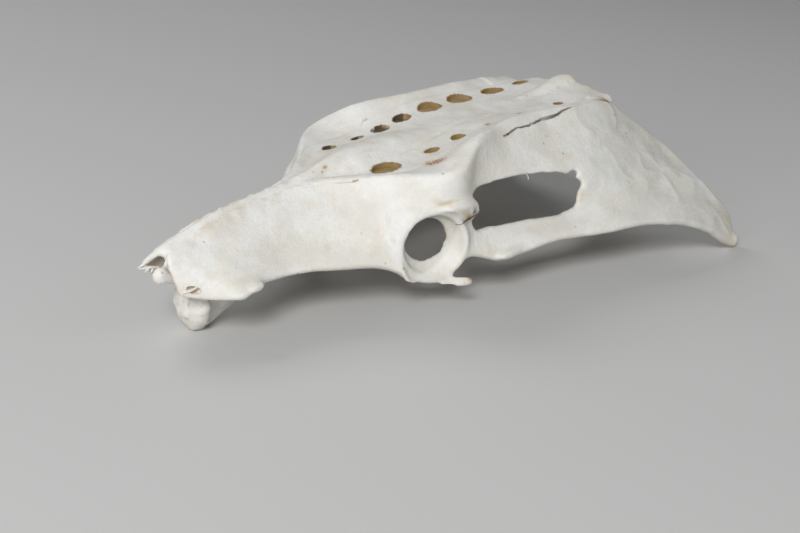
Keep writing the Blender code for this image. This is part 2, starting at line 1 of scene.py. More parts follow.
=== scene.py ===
"""Looks of a dry bird pelvis: the fused back vertebrae between two thin hip bones.

The long axis runs along X with the head end at -X, Z is up, and the animal's
left side is -Y. Surfaces are worked out in millimetres, with "station" for the
distance along the bone, "out" for the distance from the midline and "height"
above the table, and go to metres when the mesh is finished.
"""
import math

import bpy
import numpy as np
from mathutils import Matrix


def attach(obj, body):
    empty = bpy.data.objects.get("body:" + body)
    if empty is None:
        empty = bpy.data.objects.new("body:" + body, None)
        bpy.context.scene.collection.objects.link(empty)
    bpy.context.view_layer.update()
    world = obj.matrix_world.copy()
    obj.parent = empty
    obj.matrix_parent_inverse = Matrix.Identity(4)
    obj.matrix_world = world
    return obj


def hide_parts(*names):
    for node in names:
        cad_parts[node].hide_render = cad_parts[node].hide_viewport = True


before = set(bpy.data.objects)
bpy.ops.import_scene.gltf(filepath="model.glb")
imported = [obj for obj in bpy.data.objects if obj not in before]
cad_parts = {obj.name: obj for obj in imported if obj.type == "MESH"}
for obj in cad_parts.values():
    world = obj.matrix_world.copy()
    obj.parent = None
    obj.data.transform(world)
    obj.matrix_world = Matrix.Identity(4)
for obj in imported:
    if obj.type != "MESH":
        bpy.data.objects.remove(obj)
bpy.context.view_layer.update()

bl_info = {
    "name": "Bird Pelvis",
    "version": (1, 0, 0),
    "blender": (4, 5, 0),
    "location": "View3D > Sidebar > Bird Pelvis",
    "description": "Builds a dry bird pelvis from thin sheets of bone, fused and weathered",
    "category": "Object",
}

MM = 0.001
ORIGIN_STATION = 36.9
LEFT, RIGHT = -1, 1

# Hip socket, an open cup turned a little towards the head
SOCKET = np.array([27.0, 12.8, 9.2])
SOCKET_LEAN = np.array([0.04, 0.93, -0.28])
SOCKET_TURN = math.radians(22.0)
HOLE_RADIUS = 3.0
CUP_PROFILE = [(3.4, -0.7), (5.6, -0.7), (5.75, -0.1), (5.45, 0.8), (4.95, 1.55), (4.45, 1.95), (3.8, 1.95)]
BOWL_PROFILE = [(HOLE_RADIUS, -3.0), (HOLE_RADIUS - 0.08, -0.3), (HOLE_RADIUS + 0.05, 0.15), (3.55, 0.55),
                (3.9, 1.05), (4.05, 1.5), (4.25, 1.85), (4.9, 2.1), (5.9, 4.0)]

# Long opening behind the socket, in side view
FORAMEN = (42.5, 12.2)
FORAMEN_HALF = (9.7, 2.85)
FORAMEN_TILT = math.radians(-2.0)
FORAMEN_POWER = 3.4

# Gaps between the fused vertebrae, and the holes beside them: station, length, width
JOINTS = np.array([-1.5, 3.6, 8.8, 13.9, 18.8, 23.6, 28.8, 33.4, 37.6, 42.3, 48.1, 54.8, 61.5, 68.0])
RIGHT_ROW = [(26.3, 1.9, 1.5), (31.3, 2.0, 1.0), (35.5, 2.6, 2.0), (39.6, 2.8, 2.2),
             (45.0, 3.9, 2.7), (51.2, 4.2, 2.9), (58.3, 4.0, 2.4), (64.7, 3.0, 1.4)]
LEFT_ROW = [(26.1, 4.2, 2.9), (34.2, 2.3, 1.4), (39.1, 2.1, 1.8), (59.8, 1.5, 1.2)]
# The first vertebra's cone: its width swells to a sharp rim and falls to a waist behind it
BEAD = [(-1.5, 0.98), (-0.2, 1.05), (0.75, 1.2), (1.15, 1.18), (1.65, 0.66), (3.0, 0.55), (4.2, 0.82),
        (6.2, 0.74), (8.8, 0.96), (11.3, 0.8), (13.9, 1.0), (16.3, 0.86), (18.8, 1.03), (21.2, 0.9),
        (23.6, 1.05), (26.2, 0.93), (28.8, 1.05), (31.1, 0.9), (33.4, 1.03), (35.5, 0.9), (37.6, 1.02),
        (40, 0.88), (42.3, 1.02), (45.2, 0.86), (48.1, 1.03), (51.4, 0.86), (54.8, 1.04), (58, 0.86),
        (61.5, 1.04), (64.7, 0.86), (68, 1.05), (70, 0.98)]
FORAMEN_ROW_OUT = 5.9
# The right row's holes in front of this station open into dark: painted shade darkens the front of their
# walls
SEE_THROUGH = 42

# Lengthwise lines of the hip bone: station, out, height
CREST = [(-3.7, 0.8, 11.5), (2, 0.9, 13.8), (8, 1.0, 15.0), (14.4, 1.3, 16.0), (18, 3.1, 16.7),
         (22, 7.0, 17.3), (26, 11.7, 17.8), (30, 14.9, 18.2), (33, 14.4, 19.4), (36, 12.7, 20.8),
         (43, 10.4, 21.7), (50, 9.9, 22.1), (58, 10.7, 22.0), (63, 11.1, 21.6), (67, 11.2, 20.9)]
UPPER_WALL = [(-4.2, 2.0, 10.4), (2, 2.9, 11.5), (8, 3.0, 12.9), (14, 4.2, 13.3), (21, 7.9, 13.8),
              (27, 14.1, 14.5), (31, 15.2, 15.2), (34.5, 14.1, 15.7), (42.5, 14.4, 15.6), (50, 15.4, 15.0),
              (61, 16.0, 15.6), (75.5, 15.3, 14.2)]
LOWER_WALL = [(-3.9, 2.6, 8.3), (2, 5.4, 8.7), (8, 5.0, 10), (14, 6.4, 10.2), (21, 10.3, 10.3),
              (27, 14.9, 9.5), (33, 15.4, 9.9), (42.5, 16.0, 9.4), (50, 17.2, 9.8), (61, 19.8, 10.8),
              (77.8, 22.0, 8.6)]
BORDER = [(-3.5, 3.0, 6.1), (-0.3, 5.6, 5.7), (1.9, 8.3, 6.4), (5, 7.6, 7.2), (8, 7.5, 7.3),
          (11.8, 8.3, 7.4), (15.9, 10.1, 7.3), (20.6, 12.3, 6.8), (23.5, 14.4, 5.4), (28, 15.4, 4.6),
          (32, 16.2, 6.6), (36.4, 17.8, 5.7), (40.7, 18.6, 6.4), (46, 19.3, 7), (52.4, 21, 6.8),
          (60.7, 23.3, 7.0), (67.6, 25.3, 6.1), (73.2, 26.6, 3.7), (76.2, 26.9, 1.7), (79.0, 26.8, 0.4)]
BORDER_HEIGHT = [(knot[0], knot[2]) for knot in BORDER]
HEEL_BULGE = (2.2, 0.1, 0.3)
SUTURE = [(-5, 0.75), (12, 0.75), (15, 1.0), (18, 2.6), (21, 5.2), (24, 7.3), (27, 8.2),
          (33, 8.3), (43, 8.0), (61, 7.4), (72, 7.7)]
MIDLINE = [(-6.7, 9.6), (-1, 12.6), (7.6, 15.1), (14.4, 16.1), (17.5, 16.9), (21.6, 18.1), (28, 19.1),
           (37.6, 19.4), (49.5, 20.2), (62.6, 21.3), (68, 22.1), (72, 22.3)]
FORAMEN_ROW = [(-5, 10.9), (2, 13.9), (8, 15.1), (14, 16.0), (20, 16.5), (26.1, 17.2), (34.9, 18.3),
               (39.4, 19.3), (44.9, 20.2), (51.5, 20.6), (59, 20.9), (66, 21.5), (72, 21.2)]
WALL_ROWS = (0.16, 0.40, 0.66, 0.84, 1.0)

# Forms on a hip bone. Lumps: centre, radii, tilt in degrees, squareness. Rods: x, y, z, half width and height
RIDGE = ((30.4, 15.1, 13.0), (3.5, 1.15, 1.35), 4, 0.8)
RIDGE_CORNER = ((32.6, 15.0, 12.7), (1.3, 1.1, 1.15), -20, 0.8)
BAR_SWELLING = ((37.9, 17.9, 6.4), (2.4, 0.6, 0.7), 6, 1.0)
WING_CORNER = ((4.2, 7.9, 7.1), (1.3, 0.7, 0.6), 10, 1.0)
TAIL_TIP = ((79.2, 26.4, 1.2), (1.1, 0.7, 1.1), 0, 1.0)
WING_PIT = ((-2.0, 4.05, 7.05), (1.0, 0.75, 0.5), -20, 1.0)
STUB_BREAK = ((32.0, 17.4, 3.1), (0.6, 0.6, 0.5), 0, 1.0)
STUB = [(22.6, 13.5, 5.5, 0.4, 0.6), (24.3, 14.2, 4.85, 0.6, 0.75), (26.5, 15.0, 4.35, 0.8, 0.8),
        (29.0, 16.2, 4.15, 0.85, 0.8), (31.4, 17.2, 3.8, 0.5, 0.6)]
HAIR = [(43.6, 14.5, 15.4, 0.1, 0.1), (43.7, 14.8, 14.9, 0.07, 0.07), (43.6, 14.9, 14.6, 0.04, 0.04)]
SPLINTER = [(62.0, 9.2, 21.8, 0.5, 0.25), (64.5, 9.3, 21.8, 0.55, 0.25), (66.6, 9.3, 21.2, 0.45, 0.22),
            (67.9, 9.1, 20.5, 0.2, 0.14)]
PIT_FIBRE = [(-2.9, 3.2, 6.7, 0.25, 0.2), (-2.1, 3.75, 7.0, 0.2, 0.2), (-1.4, 4.1, 7.4, 0.1, 0.1)]

# Cuts through a hip bone: broken corners of the long opening and the crevice in side view, slits from above
TOOTH = [(51.3, 14.3), (52.6, 14.5), (52.9, 13.9), (52.2, 13.5), (53.3, 12.9), (53.0, 12.2), (52.4, 11.8),
         (51.0, 12.4)]
NOTCH = [(33.4, 10.2), (33.2, 11.0), (33.9, 11.9), (36.0, 11.9), (36.0, 9.7), (34.0, 9.6)]
CREVICE = [(29.7, 11.15), (31.0, 11.75), (32.6, 11.95), (34.4, 12.3)]
SUTURE_CRACK = [(42.0, 11.55), (45.0, 11.05), (48.0, 11.0), (50.0, 10.8), (53.0, 10.85), (57.4, 10.7),
                (60.8, 10.6)]
FAR_SLITS = [([(34.2, 8.5), (35.1, 8.8), (36.2, 9.1)], 0.7),
             ([(42.2, 12.0), (43.4, 12.3), (44.6, 12.5)], 0.6)]

# Lines of the column: station and size
KEEL = [(-1.5, 2.5), (-0.8, 1.1), (-0.2, 0.0), (1.3, 0.0), (4.2, 1.2), (7.6, 2.8), (14, 5.0),
        (21, 7.5), (27, 9.4), (33, 11.2), (42, 13.6), (50, 15.6), (61, 17.7), (70, 18.8)]
KEEL_HALF_WIDTH = [(-1.5, 1.2), (0, 0.8), (1.3, 0.8), (5, 0.5), (14, 0.6), (22, 1.2), (30, 1.2),
                   (42, 0.8), (70, 0.6)]
CENTRUM_HEIGHT = [(-1.5, 2.4), (0, 4.9), (8, 4.6), (22, 4.8), (33, 4.0), (50, 2.9), (70, 1.7)]
CENTRUM_HALF_WIDTH = [(-1.5, 1.7), (0, 2.3), (6, 2.0), (14, 2.5), (24, 3.3), (33, 2.7), (50, 1.8),
                      (70, 1.4)]

# Rods of the column: its open front arch, the canal through it, the rise at the tail end and broken fibres
ARCH_ROD = [(-6.35, 0, 9.95, 0.35, 0.28), (-5.5, 0, 10.45, 0.5, 0.45), (-4.3, 0, 11.0, 0.6, 0.55),
            (-2.5, 0, 11.6, 0.7, 0.65), (-0.8, 0, 12.2, 0.75, 0.7), (3.0, 0, 13.0, 0.65, 0.9)]
ARCH_SHOULDER = [(-3.6, 0.75, 11.0, 0.5, 0.5), (-2.2, 1.1, 11.2, 0.6, 0.6), (0.0, 1.1, 12.1, 0.5, 0.6),
                 (2.5, 0.9, 13.0, 0.4, 0.5)]
ARCH_FOOT = [(-4.4, 1.6, 8.5, 0.7, 0.8), (-3.0, 1.4, 8.0, 0.7, 0.9), (-1.0, 1.3, 7.3, 0.8, 1.3)]
CANAL = [(-9.0, 0, 9.5, 0.6, 0.75), (0.0, 0, 9.6, 0.6, 0.8), (5.0, 0, 10.0, 0.5, 0.7)]
TAIL_RISE = [(58.0, 0, 20.3, 0.9, 0.8), (63.0, 0.1, 20.9, 1.5, 1.0), (66.6, 0.2, 21.7, 1.9, 1.2),
             (69.0, 0.1, 21.95, 1.8, 1.2), (70.6, 0, 21.3, 1.1, 0.9)]
TIP_FIBRES = [
    [(-4.7, -0.6, 9.55, 0.18, 0.2), (-5.6, -0.4, 9.7, 0.25, 0.2), (-6.66, -0.1, 9.65, 0.1, 0.08)],
    [(-5.9, 0.0, 10.1, 0.25, 0.25), (-6.4, 0.1, 9.85, 0.2, 0.15), (-6.68, 0.3, 9.6, 0.06, 0.06)],
    [(-5.0, -0.5, 9.65, 0.2, 0.2), (-5.3, -0.6, 9.3, 0.15, 0.15), (-5.5, -0.7, 9.1, 0.06, 0.06)],
    [(-5.6, -0.4, 9.7, 0.18, 0.16), (-5.9, -0.5, 9.45, 0.14, 0.12), (-6.2, -0.6, 9.35, 0.06, 0.06)],
    [(-4.4, -0.8, 9.5, 0.2, 0.2), (-4.7, -1.0, 9.75, 0.14, 0.14), (-5.0, -1.1, 9.7, 0.06, 0.06)]]

# Marks on the surface: station and out, or station and height on the wall
CREST_GROOVE = [(-1.4, 11.9), (1.1, 13.1), (3.5, 14.1), (7.1, 14.9), (11.7, 15.5)]
STAIN = (31.3, 9.5)
SPOTS = [(20.0, -1.0, 0.2), (44.7, -6.0, 0.35), (51.6, -5.9, 0.4), (14.3, -2.0, 0.25)]
CREVICE_MARK = [(30.4, 11.6), (32.6, 12.0), (34.4, 12.4)]
BROW = [(27.4, 14.2), (29.0, 14.6), (31.0, 14.6), (33.0, 14.2)]
SLITS = [(32.0, -3.9, 2.2), (43.0, -2.1, 2.2), (47.0, -3.0, 1.8), (37.5, -3.2, 1.9), (27.5, -1.6, 1.6)]

# Reach of the meshes inside the solids' box: the foremost and rearmost station, and the table
REACH = (-6.69, 80.49)

# The photograph's camera: place in metres, then yaw, pitch and roll in degrees, and lens in millimetres
CAMERA_SPOT = (-0.10082, -0.10511, 0.05714)
CAMERA_TURN = (43.1426, 21.7446, 1.7345)
CAMERA_LENS = 48.891


# Surfaces


def smooth(knots, station):
    """A cubic through the knots, whose slope at a knot is the mean of its two chords."""
    knots = np.asarray(knots, float)
    places, sizes = knots[:, 0], knots[:, 1:]
    steps = np.diff(places)
    slopes = np.diff(sizes, axis=0) / steps[:, None]
    tangents = np.concatenate([slopes[:1], slopes, slopes[-1:]])
    tangents = (tangents[:-1] + tangents[1:]) / 2
    station = np.asarray(station, float)
    index = np.clip(np.searchsorted(places, station, side="right") - 1, 0, len(steps) - 1)
    t = np.clip((station - places[index]) / steps[index], 0, 1)[..., None]
    span = steps[index][..., None]
    return ((2 * t**3 - 3 * t**2 + 1) * sizes[index] + (t**3 - 2 * t**2 + t) * span * tangents[index]
            + (3 * t**2 - 2 * t**3) * sizes[index + 1] + (t**3 - t**2) * span * tangents[index + 1])


def line(knots, station):
    """The single size of a two-column line at the stations."""
    return smooth(knots, station)[..., 0]


def ease(t):
    """Zero to one with level ends: half of 1 - cos(pi t)."""
    return (1 - np.cos(np.pi * np.clip(t, 0, 1))) / 2


def bell(distance, width):
    """One in the middle and 1/e at the width: exp(-(d / w)^2)."""
    return np.exp(-((distance / width) ** 2))


def fade(distance, reach):
    """One up to a line, and less by a factor e for each reach beyond it."""
    return np.exp(-np.maximum(distance, 0) / reach)


def around(points, centre, radii):
    """A bell over a centre, with its own width along each axis."""
    return bell(np.linalg.norm((points - np.asarray(centre)) / radii, axis=1), 1)


def plate_height(station, out):
    """Height of the roof: it eases from the midline to the row of holes, and from there to the crest."""
    mid, row = line(MIDLINE, station), line(FORAMEN_ROW, station)
    crest_out, crest = np.moveaxis(smooth(CREST, station), -1, 0)
    row_out = np.minimum(FORAMEN_ROW_OUT, 0.6 * crest_out)
    inner = mid + (row - mid) * ease(out / row_out)
    outer = row + (crest - row) * ease((out - row_out) / np.maximum(crest_out - row_out, 0.05))
    return np.where(out < row_out, inner, outer)


def hip_surface(u, v):
    """Outer face of a hip bone: u runs from head to tail, v from the suture to the border.

    Four lines give station, out and height along u. Above the crest the face follows the roof;
    below it each column is a cubic through crest, upper wall, lower wall, flank and border.
    """
    rails = []
    for knots in (CREST, UPPER_WALL, LOWER_WALL, BORDER):
        station = np.interp(u, [0.0, 0.11, 0.80, 1.0], [knots[0][0], 4.0, 58.0, knots[-1][0]])
        rails.append(np.concatenate([station[..., None], smooth(knots, station)], axis=-1))
    crest, upper, lower, border = rails
    heel = ease((u - 0.82) / 0.18)[..., None] * np.array(HEEL_BULGE)
    rows = [crest, upper, lower, lower * 0.45 + border * 0.55 + heel, border]
    station = crest[..., 0]
    share = np.clip(v / WALL_ROWS[0], 0, 1)
    suture = line(SUTURE, station)
    out = suture + (crest[..., 1] - suture) * share
    face = np.stack([station, out, plate_height(station, out)], axis=-1)
    last = len(rows) - 1
    for i in range(last):
        span = WALL_ROWS[i + 1] - WALL_ROWS[i]
        ends = []
        for k in (i, i + 1):
            low, high = max(k - 1, 0), min(k + 1, last)
            ends.append((rows[high] - rows[low]) / (WALL_ROWS[high] - WALL_ROWS[low]))
        t = np.clip((v - WALL_ROWS[i]) / span, 0, 1)[..., None]
        piece = ((2 * t**3 - 3 * t**2 + 1) * rows[i] + (t**3 - 2 * t**2 + t) * span * ends[0]
                 + (3 * t**2 - 2 * t**3) * rows[i + 1] + (t**3 - t**2) * span * ends[1])
        face = np.where((v >= WALL_ROWS[i])[..., None], piece, face)
    return face


def hip_normal(u, v):
    """Unit vectors out of the hip bone's face, from the cross product of its two slopes."""
    step = 0.004
    along = hip_surface(np.clip(u + step, 0, 1), v) - hip_surface(np.clip(u - step, 0, 1), v)
    across = hip_surface(u, np.clip(v + step, 0, 1)) - hip_surface(u, np.clip(v - step, 0, 1))
    normal = np.cross(along, across)
    return normal / np.maximum(np.linalg.norm(normal, axis=-1, keepdims=True), 1e-9)


def hip_inner(u, v, thickness):
    """Inner face: straight down under the roof, square to the wall below it, off the midline."""
    point = hip_surface(u, v)
    away = np.hypot(point[..., 0] - SOCKET[0], point[..., 2] - SOCKET[2])
    depth = thickness + 0.9 * bell(away, 9.0) + 0.35 * ease((v - 0.8) / 0.2)
    share = ease((v - WALL_ROWS[0]) / 0.14)[..., None]
    inner = point + (np.array([0.0, 0.0, -1.0]) * (1 - share) - hip_normal(u, v) * share) * depth[..., None]
    inner[..., 1] = np.maximum(inner[..., 1], SUTURE[0][1])
    return inner


# Skins: points and triangles


def outward(points, faces):
    """The same skin with its faces turned outwards, by the sign of its volume."""
    a, b, c = points[faces[:, 0]], points[faces[:, 1]], points[faces[:, 2]]
    volume = np.einsum("ij,ij->", a, np.cross(b, c))
    return points, faces if volume > 0 else faces[:, ::-1]


def sheet_skin(outer, inner):
    """Closed skin between two grids of the same size, joined along their rims."""
    rows, columns = outer.shape[:2]
    ids = np.arange(rows * columns).reshape(rows, columns)
    a, b, c, d = ids[:-1, :-1].ravel(), ids[1:, :-1].ravel(), ids[1:, 1:].ravel(), ids[:-1, 1:].ravel()
    top = np.concatenate([np.stack([a, b, c], 1), np.stack([a, c, d], 1)])
    low = rows * columns
    rim = np.concatenate([ids[0, :-1], ids[:-1, -1], ids[-1, :0:-1], ids[:0:-1, 0]])
    after = np.roll(rim, -1)
    sides = np.concatenate([np.stack([rim, after, after + low], 1),
                            np.stack([rim, after + low, rim + low], 1)])
    points = np.concatenate([outer.reshape(-1, 3), inner.reshape(-1, 3)])
    return outward(points, np.concatenate([top, top[:, ::-1] + low, sides]))


def tube_skin(rings):
    """Closed skin through rings of points, with a fan of triangles over each end."""
    rings = np.asarray(rings, float)
    rows, columns = rings.shape[:2]
    row, column = np.meshgrid(np.arange(rows - 1), np.arange(columns), indexing="ij")
    a = (row * columns + column).ravel()
    b = (row * columns + (column + 1) % columns).ravel()
    c = np.arange(columns)
    d = (c + 1) % columns
    tail = (rows - 1) * columns
    first, last = np.full_like(c, rows * columns), np.full_like(c, rows * columns + 1)
    faces = np.concatenate([np.stack([a, b, b + columns], 1), np.stack([a, b + columns, a + columns], 1),
                            np.stack([d, c, first], 1), np.stack([c + tail, d + tail, last], 1)])
    points = np.concatenate([rings.reshape(-1, 3), rings[0].mean(0)[None], rings[-1].mean(0)[None]])
    return outward(points, faces)


def path_skin(stops, segments=20, steps=10):
    """A tube along stops of x, y, z, half width and half height, upright and smoothed by a cubic."""
    stops = np.asarray(stops, float)
    places = np.arange(len(stops), dtype=float)
    between = np.linspace(0, places[-1], steps * (len(stops) - 1))
    row = smooth(np.concatenate([places[:, None], stops], 1), between)
    along = np.gradient(row[:, :2], axis=0)
    along /= np.maximum(np.linalg.norm(along, axis=1, keepdims=True), 1e-9)
    turn = np.linspace(0, 2 * np.pi, segments, endpoint=False)
    wide, tall = row[:, 3, None] * np.cos(turn), row[:, 4, None] * np.sin(turn)
    x = row[:, 0, None] - along[:, 1, None] * wide
    y = row[:, 1, None] + along[:, 0, None] * wide
    return tube_skin(np.stack([x, y, row[:, 2, None] + tall], -1))


def lump_skin(centre, radii, tilt=0.0, square=1.0, segments=36, rings=20):
    """An ellipsoid turned by tilt degrees about Y; powers of sine and cosine under one make it squarer."""
    polar, turn = np.meshgrid(np.linspace(0.04, np.pi - 0.04, rings),
                              np.linspace(0, 2 * np.pi, segments, endpoint=False), indexing="ij")
    x = radii[0] * np.cos(polar)
    y = radii[1] * np.sin(polar) * np.sign(np.cos(turn)) * np.abs(np.cos(turn)) ** square
    z = radii[2] * np.sin(polar) * np.sign(np.sin(turn)) * np.abs(np.sin(turn)) ** square
    c, s = math.cos(math.radians(tilt)), math.sin(math.radians(tilt))
    return tube_skin(np.stack([x * c - z * s, y, x * s + z * c], -1) + np.asarray(centre, float))


def bar_skin(outline, low, high, axis):
    """A straight bar of a flat outline: along Y from x, z pairs, along X from y, z, along Z from x, y."""
    rings = np.empty((2, len(outline), 3))
    rest = [i for i in range(3) if i != axis]
    rings[..., rest] = np.asarray(outline, float)
    rings[0, :, axis], rings[1, :, axis] = low, high
    return tube_skin(rings)


def socket_skin(profile, segments=64):
    """Upright rings along the socket's leaning axis, from a cubic through radius and depth pairs."""
    profile = np.asarray(profile, float)
    places = np.arange(len(profile), dtype=float)[:, None]
    radius, depth = smooth(np.concatenate([places, profile], 1), np.linspace(0, len(profile) - 1, 40)).T
    turn = np.linspace(0, 2 * np.pi, segments, endpoint=False)
    side = np.array([math.cos(SOCKET_TURN), math.sin(SOCKET_TURN), 0.0])
    up = np.array([0.0, 0.0, 1.0])
    ring = np.cos(turn)[:, None] * side + np.sin(turn)[:, None] * up
    return tube_skin(SOCKET + depth[:, None, None] * SOCKET_LEAN + radius[:, None, None] * ring)


def flipped(skin, side):
    """The skin on the animal's left (-1) or right (1), still facing out."""
    return outward(skin[0] * np.array([1, side, 1]), skin[1])


# Noise


def lattice_noise(points, size, seed):
    """Soft noise from -1 to 1: random numbers on a cubic lattice, blended by 3t^2 - 2t^3."""
    table = np.random.default_rng(seed).uniform(-1, 1, (32, 32, 32))
    cell = points / size
    base = np.floor(cell).astype(int)
    t = cell - base
    t = t * t * (3 - 2 * t)
    total = np.zeros(len(points))
    for corner in np.ndindex(2, 2, 2):
        weight = np.prod(np.where(np.array(corner) == 1, t, 1 - t), axis=1)
        total += weight * table[tuple(((base + corner) % 32).T)]
    return total


def near_line(x, y, stops):
    """Distance from each point to a broken line."""
    stops = np.asarray(stops, float)
    spot = np.stack([x, y], 1)
    gaps = []
    for a, b in zip(stops[:-1], stops[1:]):
        t = np.clip((spot - a) @ (b - a) / np.dot(b - a, b - a), 0, 1)
        gaps.append(np.linalg.norm(spot - a - t[:, None] * (b - a), axis=1))
    return np.min(gaps, axis=0)


# Mesh work


def new_piece(name, skins):
    """One object that holds several closed skins, in millimetres."""
    points, faces, count = [], [], 0
    for skin_points, skin_faces in skins:
        points.append(skin_points)
        faces.append(skin_faces + count)
        count += len(skin_points)
    mesh = bpy.data.meshes.new(name)
    mesh.from_pydata(np.concatenate(points).tolist(), [], np.concatenate(faces).tolist())
    piece = bpy.data.objects.new(name, mesh)
    bpy.context.scene.collection.objects.link(piece)
    return piece


def settle(piece):
    """Applies the piece's modifiers to its mesh."""
    view = bpy.context.evaluated_depsgraph_get()
    mesh = bpy.data.meshes.new_from_object(piece.evaluated_get(view))
    piece.modifiers.clear()
    piece.data = mesh


def fuse(piece, voxel):
    """Grows the piece's overlapping skins into one, on a lattice of voxel millimetres."""
    modifier = piece.modifiers.new("fuse", "REMESH")
    modifier.mode = "VOXEL"
    modifier.voxel_size = voxel
    settle(piece)


def carve(piece, skins, operation="DIFFERENCE"):
    """Takes the skins' space away from the piece, or adds it."""
    cutter = new_piece("cutter", skins)
    modifier = piece.modifiers.new("carve", "BOOLEAN")
    modifier.operation = operation
    modifier.object = cutter
    modifier.solver = "MANIFOLD"
    settle(piece)
    bpy.data.objects.remove(cutter)


def weld(piece, skin):
    """Adds a skin too thin for the lattice to the piece."""
    carve(piece, [skin], "UNION")


def join(piece, skins, voxel):
    """Adds skins to the piece and fuses it again."""
    mesh = piece.data
    points = np.empty(len(mesh.vertices) * 3)
    mesh.vertices.foreach_get("co", points)
    mesh.calc_loop_triangles()
    faces = np.empty(len(mesh.loop_triangles) * 3, np.int32)
    mesh.loop_triangles.foreach_get("vertices", faces)
    name = piece.name
    bpy.data.objects.remove(piece)
    grown = new_piece(name, [(points.reshape(-1, 3), faces.reshape(-1, 3))] + list(skins))
    fuse(grown, voxel)
    return grown


def relax(points, edges, rounds, factor=0.5):
    """Moves every point part of the way to the mean of its neighbours, rounds times."""
    a, b = edges.T
    count = np.maximum(np.bincount(np.concatenate([a, b]), minlength=len(points)), 1)[:, None]
    for _ in range(rounds):
        total = np.stack([np.bincount(a, points[b, k], len(points))
                          + np.bincount(b, points[a, k], len(points)) for k in range(3)], 1)
        points = points + factor * (total / count - points)
    return points


def mesh_arrays(mesh):
    """Points and edges of a mesh as arrays."""
    points = np.empty(len(mesh.vertices) * 3)
    mesh.vertices.foreach_get("co", points)
    edges = np.empty(len(mesh.edges) * 2, np.int32)
    mesh.edges.foreach_get("vertices", edges)
    return points.reshape(-1, 3), edges.reshape(-1, 2)


def put_points(mesh, points):
    """Moves the mesh's points."""
    mesh.vertices.foreach_set("co", points.ravel())
    mesh.update()


def normals_of(mesh):
    """Unit normals of the mesh's points."""
    normals = np.empty(len(mesh.vertices) * 3, np.float32)
    mesh.vertex_normals.foreach_get("vector", normals)
    return normals.reshape(-1, 3).astype(float)


def roughen(mesh, points, normals, relief):
    """Lifts the points along their normals by relief, kept above the table and inside the box."""
    points = points + normals * relief[:, None]
    points[:, 2] = np.maximum(points[:, 2], 0.0)
    points[:, 0] = np.clip(points[:, 0], *REACH)
    put_points(mesh, points)
    return points


def paint(mesh, name, values):
    """Keeps one number, or one vector, per point as an attribute."""
    kind, field = ("FLOAT", "value") if values.ndim == 1 else ("FLOAT_VECTOR", "vector")
    mesh.attributes.new(name, kind, "POINT").data.foreach_set(field, values.astype(np.float32).ravel())


def finish_piece(piece, name, nodes, material):
    """Finishes a piece: metres, shared origin, material, body and the solids that it stands for."""
    points, _ = mesh_arrays(piece.data)
    points[:, 0] -= ORIGIN_STATION
    put_points(piece.data, points * MM)
    piece.name = piece.data.name = name
    piece.data.materials.clear()
    piece.data.materials.append(material)
    piece.data.shade_smooth()
    piece.data.set_sharp_from_angle(angle=math.radians(50))
    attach(piece, "root")
    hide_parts(*nodes)


# Hip bone


def foramen_outline(count=120):
    """Rounded oblong |x/a|^p + |z/b|^p = 1 with a small waver, ragged at its tail end."""
    turn = np.linspace(0, 2 * np.pi, count, endpoint=False)
    c, s = np.cos(turn), np.sin(turn)
    x = FORAMEN_HALF[0] * np.sign(c) * np.abs(c) ** (2 / FORAMEN_POWER)
    z = FORAMEN_HALF[1] * np.sign(s) * np.abs(s) ** (2 / FORAMEN_POWER)
    ragged = bell(turn - 0.3, 0.35)
    z = z * (1 + 0.012 * np.sin(5 * turn + 1.0) + 0.02 * np.sin(9 * turn))
    x = x * (1 + 0.012 * np.sin(7 * turn) + 0.02 * ragged * np.sin(31 * turn))
    tilt_c, tilt_s = math.cos(FORAMEN_TILT), math.sin(FORAMEN_TILT)
    return np.stack([FORAMEN[0] + x * tilt_c - z * tilt_s, FORAMEN[1] + x * tilt_s + z * tilt_c], 1)


def slot_outline(stops, widest):
    """Outline of a slit along stops, widest in the middle and pointed at both ends."""
    places = np.linspace(0, 1, 24)
    stops = np.asarray(stops, float)
    path = smooth(np.concatenate([np.linspace(0, 1, len(stops))[:, None], stops], 1), places)
    path[:, 1] += 0.04 * np.sin(places * 31) + 0.03 * np.sin(places * 67)
    half = 0.5 * widest * np.sin(np.pi * places) ** 0.8 * (1 + 0.35 * np.sin(places * 23)) + 0.01
    slope = np.gradient(path, axis=0)
    across = np.stack([-slope[:, 1], slope[:, 0]], 1) / np.linalg.norm(slope, axis=1)[:, None]
    return np.concatenate([path + across * half[:, None], (path - across * half[:, None])[::-1]])


